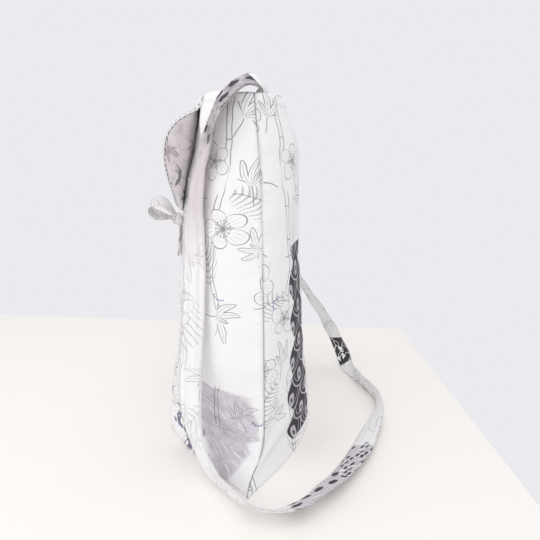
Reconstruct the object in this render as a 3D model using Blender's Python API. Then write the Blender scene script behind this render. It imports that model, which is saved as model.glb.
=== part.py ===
# Tall cotton shoulder bag that stands on its base, with a tied front flap and a long flat strap.
# Metres, +Z up. The origin is the centre of the base on the table, the front with the flap
# and the bow faces -Y, and the side seams are at +X and -X.

import math

import bmesh
import bpy
from mathutils import Vector

# Driving dimensions.
HEIGHT = 0.42
BASE_HALF_LENGTH = 0.154
BODY_HALF_WIDTH = 0.114
FRONT_DEPTH = 0.092
BACK_DEPTH = 0.1075
CANVAS = 0.0016
LINING = 0.0010
CLEARANCE = 0.0003
HEM_DEPTH = 0.010
HEM_STEP = 0.0006
BASE_ROLL = 0.0045
SEAM_SHIFT = 0.020

FLAP_HALF_WIDTH = 0.060
FLAP_CLOTH = 0.0011
FLAP_STANDS_OFF = 3.5 * CLEARANCE
PIPING_RADIUS = 0.0012

STRAP_WIDTH = 0.028
STRAP_THICKNESS = 0.0024

RIBBON_WIDTH = 0.013
RIBBON_THICKNESS = 0.0016
KNOT_SIZE = (0.0068, 0.0048, 0.0080)
LOOP_LENGTH = 0.031
NEAR_LOOP_OPENING = 0.023
FAR_LOOP_OPENING = 0.0070
TAIL_LENGTH = 0.034
TAIL_LEAN = 0.0115

# Shares and shapes that go with them.
END_INSET = 2.2
FACE_INSET = 1.06
BACK_SQUARER = 0.55
SQUARER_BELOW = 0.25
FLAP_RESTS_BELOW = 0.981
FLAP_BEND = 2.2
KNOT_LEVEL = 0.6878
BAND_EDGE = 0.6

# How finely each piece is divided.
PANEL_COLUMNS = 20
FLAP_COLUMNS = 14
STRAP_SAMPLES = 116
LOOP_SAMPLES = 26
TAIL_SAMPLES = 8

# Base colours of the cloths.
PRINTED_WHITE = (0.86, 0.85, 0.85)
LINING_GREY = (0.56, 0.52, 0.54)
PIPING_WHITE = (0.82, 0.81, 0.81)
STRAP_WHITE = (0.80, 0.78, 0.79)
RIBBON_WHITE = (0.84, 0.83, 0.83)

# The body's section at each height, as shares: height, half width, front depth, back depth
# and place of the side seam, then the two powers that round the section.
SECTIONS = [
    (1.000, 0.904, 0.511, 0.414, 0.70, 2.60, 2.00),
    (1 - HEM_DEPTH / HEIGHT, 0.908, 0.543, 0.465, 0.72, 2.55, 1.92),
    (0.988 - HEM_DEPTH / HEIGHT, 0.911, 0.554, 0.488, 0.74, 2.52, 1.90),
    (0.929, 0.917, 0.592, 0.549, 0.78, 2.48, 1.84),
    (0.881, 0.926, 0.647, 0.591, 0.84, 2.42, 1.76),
    (0.810, 0.938, 0.761, 0.591, 0.90, 2.34, 1.68),
    (0.714, 0.956, 0.848, 0.600, 0.94, 2.24, 1.58),
    (0.595, 0.974, 0.913, 0.619, 0.98, 2.10, 1.48),
    (0.476, 0.987, 0.967, 0.647, 1.00, 2.00, 1.40),
    (0.357, 0.996, 1.022, 0.684, 1.00, 1.85, 1.32),
    (0.238, 1.000, 1.087, 0.730, 1.00, 1.70, 1.22),
    (0.143, 1.015, 1.147, 0.777, 1.00, 1.55, 1.14),
    (0.090, 1.050, 1.160, 0.815, 0.90, 1.42, 1.08),
    (0.050, 1.120, 1.110, 0.890, 0.50, 1.36, 1.04),
    (0.024, 1.215, 1.010, 1.000, 0.00, 1.34, 1.00),
    (0.008, 1.310, 0.940, 1.050, -0.30, 1.32, 1.00),
]
# The underside, as the share of the way from the edge of the base to the seam under it.
BASE_ROWS = [1.0, 0.62, 0.28, 0.0]

# Soft hollows pressed into the cloth: side, place along the width, height, reach and depth,
# each but the side as a share of the body's size that way.
HOLLOWS = [
    (-1, 0.62, 0.56, 0.20, 0.044),
    (-1, 0.86, 0.88, 0.13, 0.023),
    (-1, 0.30, 0.72, 0.26, 0.026),
    (1, 0.55, 0.60, 0.22, 0.032),
    (1, -0.35, 0.78, 0.24, 0.035),
    (1, -0.60, 0.34, 0.26, 0.032),
    (-1, -0.60, 0.50, 0.24, 0.035),
]


def material(name, colour):
    made = bpy.data.materials.new(name)
    made.use_nodes = True
    shader = made.node_tree.nodes["Principled BSDF"]
    shader.inputs["Base Color"].default_value = (*colour, 1.0)
    shader.inputs["Roughness"].default_value = 0.85
    shader.inputs["Metallic"].default_value = 0.0
    made.diffuse_color = (*colour, 1.0)
    return made


def add_object(mesh_builder, name, colour):
    """Close the mesh, turn its faces outward and put it in the bag's collection."""
    bmesh.ops.remove_doubles(mesh_builder, verts=mesh_builder.verts, dist=0.00002)
    bmesh.ops.dissolve_degenerate(mesh_builder, edges=mesh_builder.edges, dist=0.00001)
    bmesh.ops.recalc_face_normals(mesh_builder, faces=mesh_builder.faces)
    mesh = bpy.data.meshes.new(name)
    mesh_builder.to_mesh(mesh)
    mesh_builder.free()
    for face in mesh.polygons:
        face.use_smooth = True
    made = bpy.data.objects.new(name, mesh)
    mesh.materials.append(material(name + "_cloth", colour))
    bag.objects.link(made)
    return made


def add_sheet(outer, inner, name, colour):
    """Close the space between two equal grids of points into one body."""
    built = bmesh.new()
    rows, columns = len(outer), len(outer[0])
    front = [[built.verts.new(point) for point in row] for row in outer]
    back = [[built.verts.new(point) for point in row] for row in inner]
    for r in range(rows - 1):
        for c in range(columns - 1):
            built.faces.new((front[r][c], front[r][c + 1], front[r + 1][c + 1], front[r + 1][c]))
            built.faces.new((back[r][c], back[r + 1][c], back[r + 1][c + 1], back[r][c + 1]))
    for c in range(columns - 1):
        for r in (0, rows - 1):
            built.faces.new((front[r][c], front[r][c + 1], back[r][c + 1], back[r][c]))
    for r in range(rows - 1):
        for c in (0, columns - 1):
            built.faces.new((front[r][c], front[r + 1][c], back[r + 1][c], back[r][c]))
    return add_object(built, name, colour)


def smooth_path(points, samples):
    """Points spaced evenly along a smooth curve through the given points."""
    dense = []
    last = len(points) - 1
    for i in range(last):
        a = points[max(i - 1, 0)]
        b = points[i]
        c = points[i + 1]
        d = points[min(i + 2, last)]
        for k in range(12):
            t = k / 12
            dense.append(0.5 * (2 * b + (c - a) * t + (2 * a - 5 * b + 4 * c - d) * t * t
                                + (3 * b - a - 3 * c + d) * t * t * t))
    dense.append(points[last])
    travelled = [0.0]
    for a, b in zip(dense, dense[1:]):
        travelled.append(travelled[-1] + (b - a).length)
    even = []
    i = 0
    for k in range(samples):
        target = travelled[-1] * k / (samples - 1)
        while i < len(dense) - 2 and travelled[i + 1] < target:
            i += 1
        span = max(travelled[i + 1] - travelled[i], 1e-9)
        even.append(dense[i].lerp(dense[i + 1], min(max((target - travelled[i]) / span, 0), 1)))
    return even


def directions_along(points, across, even):
    """The band's width direction at each even point, blended between the given ones."""
    blended = []
    nearest = 0
    for place in even:
        window = range(nearest, min(nearest + 4, len(points)))
        nearest = min(window, key=lambda i: (points[i] - place).length)
        before = max(nearest - 1, 0)
        after = min(nearest + 1, len(points) - 1)
        weights = [(i, 1 / ((points[i] - place).length + 1e-5) ** 2)
                   for i in {before, nearest, after}]
        total = Vector((0, 0, 0))
        for i, weight in weights:
            total += across[i].normalized() * weight
        blended.append(total.normalized())
    return blended


def add_band(points, across, width, thickness, samples, name, colour, lying=None):
    """Sweep a flat cloth band along a route; its lying stretch rests on the table."""
    even = smooth_path(points, samples)
    widthways = directions_along(points, across, even)
    built = bmesh.new()
    rings = []
    for i, place in enumerate(even):
        forward = (even[min(i + 1, samples - 1)] - even[max(i - 1, 0)]).normalized()
        side = (widthways[i] - forward * widthways[i].dot(forward)).normalized()
        face = forward.cross(side)
        half = width / 2
        edge = thickness * BAND_EDGE
        section = [(-half, 0), (-half + edge, thickness / 2), (half - edge, thickness / 2),
                   (half, 0), (half - edge, -thickness / 2), (-half + edge, -thickness / 2)]
        ring = [place + side * u + face * v for u, v in section]
        share = i / (samples - 1)
        if lying:
            start, end, blend = lying
            near = min(1.0, (share - start + blend) / blend, (end + blend - share) / blend)
            near = max(near, 0.0)
            near = near * near * (3 - 2 * near)
            drop = (min(point.z for point in ring) - CLEARANCE) * near
            ring = [point - Vector((0, 0, drop)) for point in ring]
            rise = max(CLEARANCE - min(point.z for point in ring), 0.0)
            ring = [point + Vector((0, 0, rise)) for point in ring]
        rings.append([built.verts.new(point) for point in ring])
    count = len(rings[0])
    for a, b in zip(rings, rings[1:]):
        for k in range(count):
            built.faces.new((a[k], a[(k + 1) % count], b[(k + 1) % count], b[k]))
    built.faces.new(rings[0])
    built.faces.new(list(reversed(rings[-1])))
    return add_object(built, name, colour)


def section_point(section, column, columns, side, inward):
    """A point of the body's section, moved inward by a cloth's thickness."""
    height, wide, front, back, seam, power, round_ends = section
    half_width = BODY_HALF_WIDTH * wide - END_INSET * inward
    depth = FRONT_DEPTH * front if side < 0 else BACK_DEPTH * back
    depth -= FACE_INSET * inward
    if side > 0:
        power += BACK_SQUARER * (1 - min(height / SQUARER_BELOW, 1))
    share = math.sin(math.pi * (column / columns - 0.5))
    bulge = (1 - abs(share) ** power) ** (1 / round_ends)
    for which, place, level, reach, deep in HOLLOWS:
        if which == side:
            off = ((share - place) / reach) ** 2 + ((height - level) * 2.0 / reach) ** 2
            depth -= BODY_HALF_WIDTH * deep * math.exp(-off) * min(bulge * 3, 1)
    seam_y = SEAM_SHIFT * seam
    return (half_width * share, seam_y + side * (CLEARANCE / 2 + depth * bulge),
            HEIGHT * height)


def panel_grid(side, inward):
    """Rows of points from the hem down the panel and under the base to its seam."""
    grid = []
    for number, section in enumerate(SECTIONS):
        extra = inward
        if inward < CANVAS / 2 and number > 1:
            extra = inward + HEM_STEP
        grid.append([section_point(section, c, PANEL_COLUMNS, side, extra)
                     for c in range(PANEL_COLUMNS + 1)])
        if number == 0 and inward > 0:
            grid[0] = [(x, y, HEIGHT) for x, y, z in grid[0]]
    lowest = list(SECTIONS[-1])
    lowest[0] = 0.0
    lowest[1] = (BASE_HALF_LENGTH - 0.2 * BASE_ROLL) / BODY_HALF_WIDTH
    floor = max(inward - HEM_STEP, 0.0)
    for share in BASE_ROWS:
        row = []
        for c in range(PANEL_COLUMNS + 1):
            x, y, z = section_point(lowest, c, PANEL_COLUMNS, side, inward + HEM_STEP)
            seam_y = SEAM_SHIFT * lowest[4]
            ahead = abs(y - seam_y) - CLEARANCE / 2
            flat = max(ahead - BASE_ROLL * min(ahead / (3 * BASE_ROLL), 1), 0.0)
            row.append((x, seam_y + side * (CLEARANCE / 2 + flat * share), floor))
        grid.append(row)
    for row in grid:
        for c, (x, y, z) in enumerate(row):
            row[c] = Vector((x, y, max(z, floor)))
    return grid


def build_body():
    for side, name in ((-1, "front"), (1, "back")):
        outer = panel_grid(side, 0.0)
        inner = panel_grid(side, CANVAS + HEM_STEP)
        add_sheet(outer, inner, name + "_panel", PRINTED_WHITE)
        outer = panel_grid(side, CANVAS + HEM_STEP + CLEARANCE)
        inner = panel_grid(side, CANVAS + HEM_STEP + CLEARANCE + LINING)
        add_sheet(outer, inner, name + "_lining", LINING_GREY)


# The flap from the back hem over the mouth to its tied tip. Each row has the middle line's
# place across the body and height, the width, then the edge's place across and height.
# Widths are shares of the flap's half width and heights are shares of the body's.
FLAP_ROWS = [
    (0.4009, 1.00202, 1, 0.3405, 1.00286),
    (0.3953, 1.01071, 1, 0.3209, 1.00952),
    (0.3256, 1.02143, 1, 0.2419, 1.01286),
    (0.1674, 1.02738, 1, 0.0930, 1.01381),
    (-0.0435, 1.02857, 1, -0.0978, 1.01333),
    (-0.2826, 1.02381, 1, -0.2935, 1.01190),
    (-0.4891, 1.01476, 0.99, -0.4750, 1.00762),
    (-0.5707, 0.99286, 0.985, -0.5707, 0.98095),
    (-0.5815, 0.95714, 1, -0.6848, 0.96190),
    (-0.6141, 0.92381, 1.01, -0.7935, 0.94524),
    (-0.6467, 0.88810, 1.01, -0.8783, 0.92262),
    (-0.6902, 0.85238, 1, -0.9261, 0.90119),
    (-0.7337, 0.81905, 0.97, -0.9511, 0.87381),
    (-0.7663, 0.78810, 0.9, -0.9511, 0.84524),
    (-0.7957, 0.75952, 0.74, -0.9261, 0.80714),
    (-0.8174, 0.73452, 0.45, -0.8750, 0.76071),
    (-0.8348, 0.71310, 0.14, -0.8402, 0.72262),
]


def across_body(share):
    """A place from the front, below 0, to the back, as a share of that side's depth."""
    seam_y = SEAM_SHIFT * SECTIONS[0][4]
    return seam_y + share * (FRONT_DEPTH if share < 0 else BACK_DEPTH)


def front_face(height):
    """How far forward the middle of the front panel stands at a share of the height."""
    above, below = next(pair for pair in zip(SECTIONS, SECTIONS[1:]) if height >= pair[1][0])
    share = (height - below[0]) / (above[0] - below[0])
    upper = section_point(above, PANEL_COLUMNS / 2, PANEL_COLUMNS, -1, HEM_STEP)[1]
    lower = section_point(below, PANEL_COLUMNS / 2, PANEL_COLUMNS, -1, HEM_STEP)[1]
    return lower + (upper - lower) * share


def flap_middle():
    """The flap's middle surface, which lies on the front panel, and its normals."""
    surface = []
    for middle, level, wide, edge, edge_level in FLAP_ROWS:
        row = []
        middle_y = across_body(middle)
        if level < FLAP_RESTS_BELOW:
            middle_y = front_face(level) - FLAP_CLOTH - FLAP_STANDS_OFF
        for c in range(FLAP_COLUMNS + 1):
            share = 2 * c / FLAP_COLUMNS - 1
            bend = abs(share) ** FLAP_BEND
            row.append(Vector((FLAP_HALF_WIDTH * wide * share,
                               middle_y + (across_body(edge) - middle_y) * bend,
                               HEIGHT * (level + (edge_level - level) * bend))))
        surface.append(row)
    normals = []
    last = len(surface) - 1
    for r, row in enumerate(surface):
        line = []
        for c in range(FLAP_COLUMNS + 1):
            along = surface[min(r + 1, last)][c] - surface[max(r - 1, 0)][c]
            sideways = row[min(c + 1, FLAP_COLUMNS)] - row[max(c - 1, 0)]
            line.append(along.cross(sideways).normalized())
        normals.append(line)
    if normals[4][FLAP_COLUMNS // 2].z < 0:
        normals = [[-normal for normal in line] for line in normals]
    return surface, normals


def build_flap():
    surface, normals = flap_middle()

    def moved(distance):
        return [[p + n * distance for p, n in zip(row, line)]
                for row, line in zip(surface, normals)]

    half_gap = CLEARANCE / 2
    add_sheet(moved(half_gap + FLAP_CLOTH), moved(half_gap), "flap_outer", PRINTED_WHITE)
    add_sheet(moved(-half_gap), moved(-half_gap - FLAP_CLOTH), "flap_lining", LINING_GREY)

    reach = PIPING_RADIUS + 3 * CLEARANCE
    near, far = [], []
    tip = surface[-1][FLAP_COLUMNS // 2]
    down = (tip - surface[-2][FLAP_COLUMNS // 2]).normalized()
    for r in range(1, len(surface)):
        for edge, inside, side in ((-1, -2, near), (0, 1, far)):
            after = surface[min(r + 1, len(surface) - 1)][edge]
            along = (after - surface[r - 1][edge]).normalized()
            away = surface[r][edge] - surface[r][inside]
            away = (away - along * away.dot(along)).normalized()
            if r == len(surface) - 1:
                away += down
            side.append(surface[r][edge] + away * reach)
    end = tip + down * reach
    curve = bpy.data.curves.new("flap_piping", "CURVE")
    curve.dimensions = "3D"
    curve.bevel_depth = PIPING_RADIUS
    curve.bevel_resolution = 1
    curve.use_fill_caps = True
    curve.resolution_u = 2
    route = far + [end] + near[::-1]
    spline = curve.splines.new("POLY")
    spline.points.add(len(route) - 1)
    for point, place in zip(spline.points, route):
        point.co = (*place, 1.0)
    made = bpy.data.objects.new("flap_piping", curve)
    curve.materials.append(material("flap_piping_cloth", PIPING_WHITE))
    bag.objects.link(made)


# The strap's route: a share of the body's half width, a place across the body and a share
# of its height, then the direction of the strap's width.
STRAP_ROUTE = [
    (0.7596, 0.1051, 0.97262, -0.6, 0.8, 0),
    (0.7491, 0.1033, 0.99643, -0.6, 0.8, 0),
    (0.7281, 0.0614, 1.02143, -0.76, 0.64, 0),
    (0.8026, 0.0093, 1.03571, -0.92, 0.38, 0),
    (0.8596, -0.1087, 1.03690, -1, 0.1, 0),
    (0.8860, -0.2283, 1.02619, -1, -0.04, 0),
    (0.9035, -0.3098, 1.00595, -0.99, -0.14, 0),
    (0.8991, -0.3696, 0.97381, -0.98, -0.2, 0),
    (0.8816, -0.4457, 0.93810, -0.975, -0.22, 0),
    (0.8596, -0.5087, 0.89524, -0.972, -0.23, 0),
    (0.8114, -0.5707, 0.85000, -0.96, -0.28, 0),
    (0.7807, -0.6413, 0.78333, -0.85, -0.53, 0),
    (0.7544, -0.6761, 0.69762, -0.66, -0.75, 0),
    (0.7368, -0.6935, 0.60714, -0.48, -0.88, 0),
    (0.7325, -0.7228, 0.49881, -0.42, -0.91, 0),
    (0.7412, -0.7717, 0.38667, -0.42, -0.91, 0),
    (0.7632, -0.8207, 0.27000, -0.42, -0.91, 0),
    (0.7939, -0.8315, 0.17810, -0.5, -0.86, -0.05),
    (0.8377, -0.7989, 0.11548, -0.72, -0.66, -0.18),
    (0.9079, -0.7391, 0.06905, -0.86, -0.22, -0.46),
    (1.0175, -0.6576, 0.04048, -0.64, 0.16, -0.75),
    (1.1667, -0.5489, 0.02619, -0.5, 0.28, -0.82),
    (1.3246, -0.4348, 0.02619, -0.5, 0.32, -0.8),
    (1.4781, -0.2880, 0.02619, -0.6, 0.28, -0.74),
    (1.5789, -0.1413, 0.02619, -0.7, 0.1, -0.7),
    (1.6140, 0.0465, 0.02619, -0.74, -0.1, -0.66),
    (1.6009, 0.2326, 0.02619, -0.76, -0.2, -0.6),
    (1.5263, 0.4372, 0.02619, -0.76, -0.34, -0.54),
    (1.3947, 0.6605, 0.02619, -0.76, -0.42, -0.46),
    (1.2018, 0.9395, 0.02143, -0.76, -0.5, -0.38),
    (0.9561, 1.2279, 0.01429, -0.74, -0.6, -0.28),
    (0.6842, 1.4884, 0.00952, -0.64, -0.66, -0.38),
    (0.4386, 1.6930, 0.00952, -0.4, -0.5, -0.76),
    (0.2368, 1.8140, 0.01667, -0.1, -0.05, -0.99),
    (0.0263, 1.8605, 0.02381, 0, 0.22, -0.97),
    (-0.2456, 1.8326, 0.02619, 0, 0.32, -0.94),
    (-0.5263, 1.7953, 0.02857, 0, 0.1, -0.99),
    (-0.7544, 1.7860, 0.04762, -0.05, -0.4, -0.9),
    (-0.8772, 1.7116, 0.10000, -0.12, -0.75, -0.62),
    (-0.9123, 1.5628, 0.18095, -0.18, -0.87, -0.45),
    (-0.9211, 1.4186, 0.25238, -0.2, -0.86, -0.46),
    (-0.9211, 1.2558, 0.32143, -0.26, -0.84, -0.46),
    (-0.9123, 1.0140, 0.42857, -0.36, -0.8, -0.44),
    (-0.8947, 0.7628, 0.57143, -0.48, -0.8, -0.34),
    (-0.8816, 0.5953, 0.71429, -0.58, -0.78, -0.22),
    (-0.8684, 0.4744, 0.85714, -0.66, -0.74, -0.12),
    (-0.8596, 0.3907, 0.95952, -0.68, -0.73, -0.04),
    (-0.8421, 0.3116, 1.00952, -0.68, -0.73, 0),
    (-0.8026, 0.2140, 1.02976, -0.67, -0.74, 0),
    (-0.7412, 0.1228, 1.01786, -0.64, -0.77, 0),
    (-0.7491, 0.1033, 0.99643, -0.6, -0.8, 0),
    (-0.7596, 0.1051, 0.97262, -0.6, -0.8, 0),
]

# The stretch of the strap that lies on the table, and how it blends into the rest.
STRAP_LIES = (0.470, 0.650, 0.025)


def build_strap():
    places = [Vector((x * BODY_HALF_WIDTH, across_body(y), z * HEIGHT))
              for x, y, z, _, _, _ in STRAP_ROUTE]
    widthways = [Vector((u, v, w)) for _, _, _, u, v, w in STRAP_ROUTE]
    add_band(places, widthways, STRAP_WIDTH, STRAP_THICKNESS, STRAP_SAMPLES,
             "shoulder_strap", STRAP_WHITE, lying=STRAP_LIES)


def add_loop(root, outward, upward, length, opening, name):
    """A ribbon loop: out along its upper side, round its end and back along its lower side."""
    hole = outward.cross(upward).normalized()
    start = opening * 0.16
    shape = [(0.0, start), (0.25, 0.36 * opening), (0.55, 0.52 * opening),
             (0.82, 0.44 * opening), (1.0, 0.0), (0.82, -0.44 * opening),
             (0.55, -0.50 * opening), (0.25, -0.34 * opening), (0.0, -start)]
    points = [root + outward * (length * a) + upward * b for a, b in shape]
    return add_band(points, [hole] * len(points), RIBBON_WIDTH, RIBBON_THICKNESS,
                    LOOP_SAMPLES, name, RIBBON_WHITE)


def build_bow():
    stands_off = KNOT_SIZE[1] + CLEARANCE
    knot_at = Vector((0, front_face(KNOT_LEVEL) - stands_off, HEIGHT * KNOT_LEVEL))
    built = bmesh.new()
    bmesh.ops.create_uvsphere(built, u_segments=14, v_segments=9, radius=1.0)
    for vert in built.verts:
        boxy = Vector([math.copysign(abs(value) ** 0.8, value) for value in vert.co])
        vert.co = Vector([boxy[i] * KNOT_SIZE[i] for i in range(3)]) + knot_at
    add_object(built, "bow_knot", RIBBON_WHITE)

    reach = KNOT_SIZE[1] + RIBBON_THICKNESS
    out = Vector((0.22, -0.82, 0.53)).normalized()
    up = Vector((0.51, 0.41, 0.66)).normalized()
    up = (up - out * up.dot(out)).normalized()
    add_loop(knot_at + out * reach * 1.12, out, up, LOOP_LENGTH, NEAR_LOOP_OPENING,
             "bow_loop_near")
    out = Vector((-1.0, -0.07, -0.10)).normalized()
    up = Vector((-0.05, -0.45, 0.90)).normalized()
    up = (up - out * up.dot(out)).normalized()
    start = knot_at + out * (KNOT_SIZE[0] + 0.3 * RIBBON_THICKNESS)
    start.y -= 0.6 * RIBBON_THICKNESS
    add_loop(start, out, up, LOOP_LENGTH * 0.8, FAR_LOOP_OPENING, "bow_loop_far")

    for name, lean, layer, start in (("bow_tail_far", -TAIL_LEAN, 0, 1.12),
                                     ("bow_tail_near", TAIL_LEAN, 1, 1.18)):
        points = []
        for share in (0.0, 0.33, 0.66, 1.0):
            height = knot_at.z - KNOT_SIZE[2] * start - TAIL_LENGTH * share
            away = (layer + 0.5) * RIBBON_THICKNESS + (2 * layer + 2) * CLEARANCE
            points.append(Vector((knot_at.x + lean * share,
                                  front_face(height / HEIGHT) - away, height)))
        add_band(points, [Vector((1, 0, 0))] * len(points), RIBBON_WIDTH, RIBBON_THICKNESS,
                 TAIL_SAMPLES, name, RIBBON_WHITE)


for old in list(bpy.data.objects):
    bpy.data.objects.remove(old, do_unlink=True)

bag = bpy.data.collections.new("flap_shoulder_bag")
bpy.context.scene.collection.children.link(bag)

build_body()
build_flap()
build_strap()
build_bow()
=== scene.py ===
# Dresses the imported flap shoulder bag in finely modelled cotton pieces, on a pale table.
# Metres, +Z up. The front with the flap and the bow faces -Y, the side seams are at +X and -X.

import math

import bmesh
import bpy
import numpy as np
from mathutils import Matrix, Vector


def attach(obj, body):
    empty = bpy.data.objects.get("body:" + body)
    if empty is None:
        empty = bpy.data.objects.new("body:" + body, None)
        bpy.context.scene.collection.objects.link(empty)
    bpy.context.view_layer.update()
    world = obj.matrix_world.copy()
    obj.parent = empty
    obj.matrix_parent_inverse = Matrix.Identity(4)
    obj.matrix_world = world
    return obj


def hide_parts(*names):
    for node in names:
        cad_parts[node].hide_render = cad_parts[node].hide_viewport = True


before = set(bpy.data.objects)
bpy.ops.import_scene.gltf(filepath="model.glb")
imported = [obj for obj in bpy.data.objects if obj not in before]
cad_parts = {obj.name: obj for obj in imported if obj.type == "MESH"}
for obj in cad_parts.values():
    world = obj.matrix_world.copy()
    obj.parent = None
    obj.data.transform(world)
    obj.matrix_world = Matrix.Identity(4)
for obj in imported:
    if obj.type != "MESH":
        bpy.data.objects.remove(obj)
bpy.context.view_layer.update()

# Sizes of the bag.
HEIGHT = 0.42
BASE_HALF_LENGTH = 0.154
BODY_HALF_WIDTH = 0.114
FRONT_DEPTH = 0.092
BACK_DEPTH = 0.1075
CANVAS = 0.0016
LINING = 0.0010
CLEARANCE = 0.0003
HEM_DEPTH = 0.010
HEM_STEP = 0.0006
BASE_ROLL = 0.0045
SEAM_SHIFT = 0.020
FLAP_HALF_WIDTH = 0.060
FLAP_CLOTH = 0.0011
PIPING_RADIUS = 0.0012
STRAP_WIDTH = 0.028
STRAP_THICKNESS = 0.0024
RIBBON_WIDTH = 0.013
RIBBON_THICKNESS = 0.0016
KNOT_SIZE = (0.0068, 0.0048, 0.0080)
LOOP_LENGTH = 0.031
TAIL_LENGTH = 0.034
KNOT_LEVEL = 0.6878

# The height of the hem's stitches.
HEM_LINE = HEIGHT - HEM_DEPTH + 0.0012

# Stitches: pitch along the seam, then length, width and rise of one thread.
HEM_STITCH = (0.0042, 0.0030, 0.0007, 0.0004)
PIPING_STITCH = (0.0058, 0.0043, 0.0008, 0.0004)
STRAP_STITCH = (0.0036, 0.0025, 0.00055, 0.0003)

# How finely the pieces are divided: columns across them and steps along them.
PANEL_COLUMNS = 121
PANEL_LEVELS = 170
LINING_COLUMNS = 61
LINING_LEVELS = 96
FLAP_COLUMNS = 65
FLAP_STEPS = 97
STRAP_COLUMNS = 17
STRAP_STEPS = 640
RIBBON_COLUMNS = 13
LOOP_STEPS = 110
TAIL_STEPS = 60

# The body's section at each height, as shares: height, half width, front depth, back depth
# and place of the side seam, then the two powers that round the section.
SECTIONS = [
    (1.000, 0.904, 0.511, 0.414, 0.70, 2.60, 2.00),
    (0.976, 0.908, 0.543, 0.465, 0.72, 2.55, 1.92),
    (0.964, 0.911, 0.554, 0.488, 0.74, 2.52, 1.90),
    (0.929, 0.917, 0.592, 0.549, 0.78, 2.48, 1.84),
    (0.881, 0.926, 0.647, 0.591, 0.84, 2.42, 1.76),
    (0.810, 0.938, 0.761, 0.591, 0.90, 2.34, 1.68),
    (0.714, 0.956, 0.848, 0.600, 0.94, 2.24, 1.58),
    (0.595, 0.974, 0.913, 0.619, 0.98, 2.10, 1.48),
    (0.476, 0.987, 0.967, 0.647, 1.00, 2.00, 1.40),
    (0.357, 0.996, 1.022, 0.684, 1.00, 1.85, 1.32),
    (0.238, 1.000, 1.087, 0.730, 1.00, 1.70, 1.22),
    (0.143, 1.015, 1.147, 0.777, 1.00, 1.55, 1.14),
    (0.090, 1.050, 1.160, 0.815, 0.90, 1.42, 1.08),
    (0.050, 1.120, 1.110, 0.890, 0.50, 1.36, 1.04),
    (0.024, 1.215, 1.010, 1.000, 0.00, 1.34, 1.00),
    (0.008, 1.310, 0.940, 1.050, -0.30, 1.32, 1.00),
]

# Soft hollows pressed into the cloth: side, then place along the width, height, reach and
# depth as shares of the body.
HOLLOWS = [
    (-1, 0.62, 0.56, 0.20, 0.020),
    (-1, 0.86, 0.88, 0.13, 0.023),
    (-1, 0.30, 0.72, 0.26, 0.026),
    (1, 0.55, 0.60, 0.22, 0.032),
    (1, -0.35, 0.78, 0.24, 0.035),
    (1, -0.60, 0.34, 0.26, 0.032),
    (-1, -0.60, 0.50, 0.24, 0.035),
]

# The flap from the back hem to its tied tip: the middle line's place across the body and
# height, the width, then the edge's place across and height.
FLAP_ROWS = [
    (0.4009, 1.00202, 1, 0.3405, 1.00286),
    (0.3953, 1.00857, 1, 0.3209, 1.00760),
    (0.3256, 1.01500, 1, 0.2419, 1.00860),
    (0.1674, 1.01900, 1, 0.0930, 1.00880),
    (-0.0435, 1.02000, 1, -0.0978, 1.00880),
    (-0.2826, 1.01800, 1, -0.2935, 1.00880),
    (-0.4891, 1.01300, 0.985, -0.4750, 1.00500),
    (-0.5707, 0.99286, 0.98, -0.5480, 0.98095),
    (-0.5815, 0.95714, 0.995, -0.6700, 0.96190),
    (-0.6141, 0.92381, 1.01, -0.7935, 0.94524),
    (-0.6467, 0.88810, 1.01, -0.8783, 0.92262),
    (-0.6902, 0.85238, 1, -0.9261, 0.90119),
    (-0.7337, 0.81905, 0.97, -0.9511, 0.87381),
    (-0.7663, 0.78810, 0.9, -0.9511, 0.84524),
    (-0.7957, 0.75952, 0.74, -0.9261, 0.80714),
    (-0.8174, 0.73452, 0.45, -0.8750, 0.76071),
    (-0.8348, 0.71310, 0.14, -0.8402, 0.72262),
]

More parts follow.
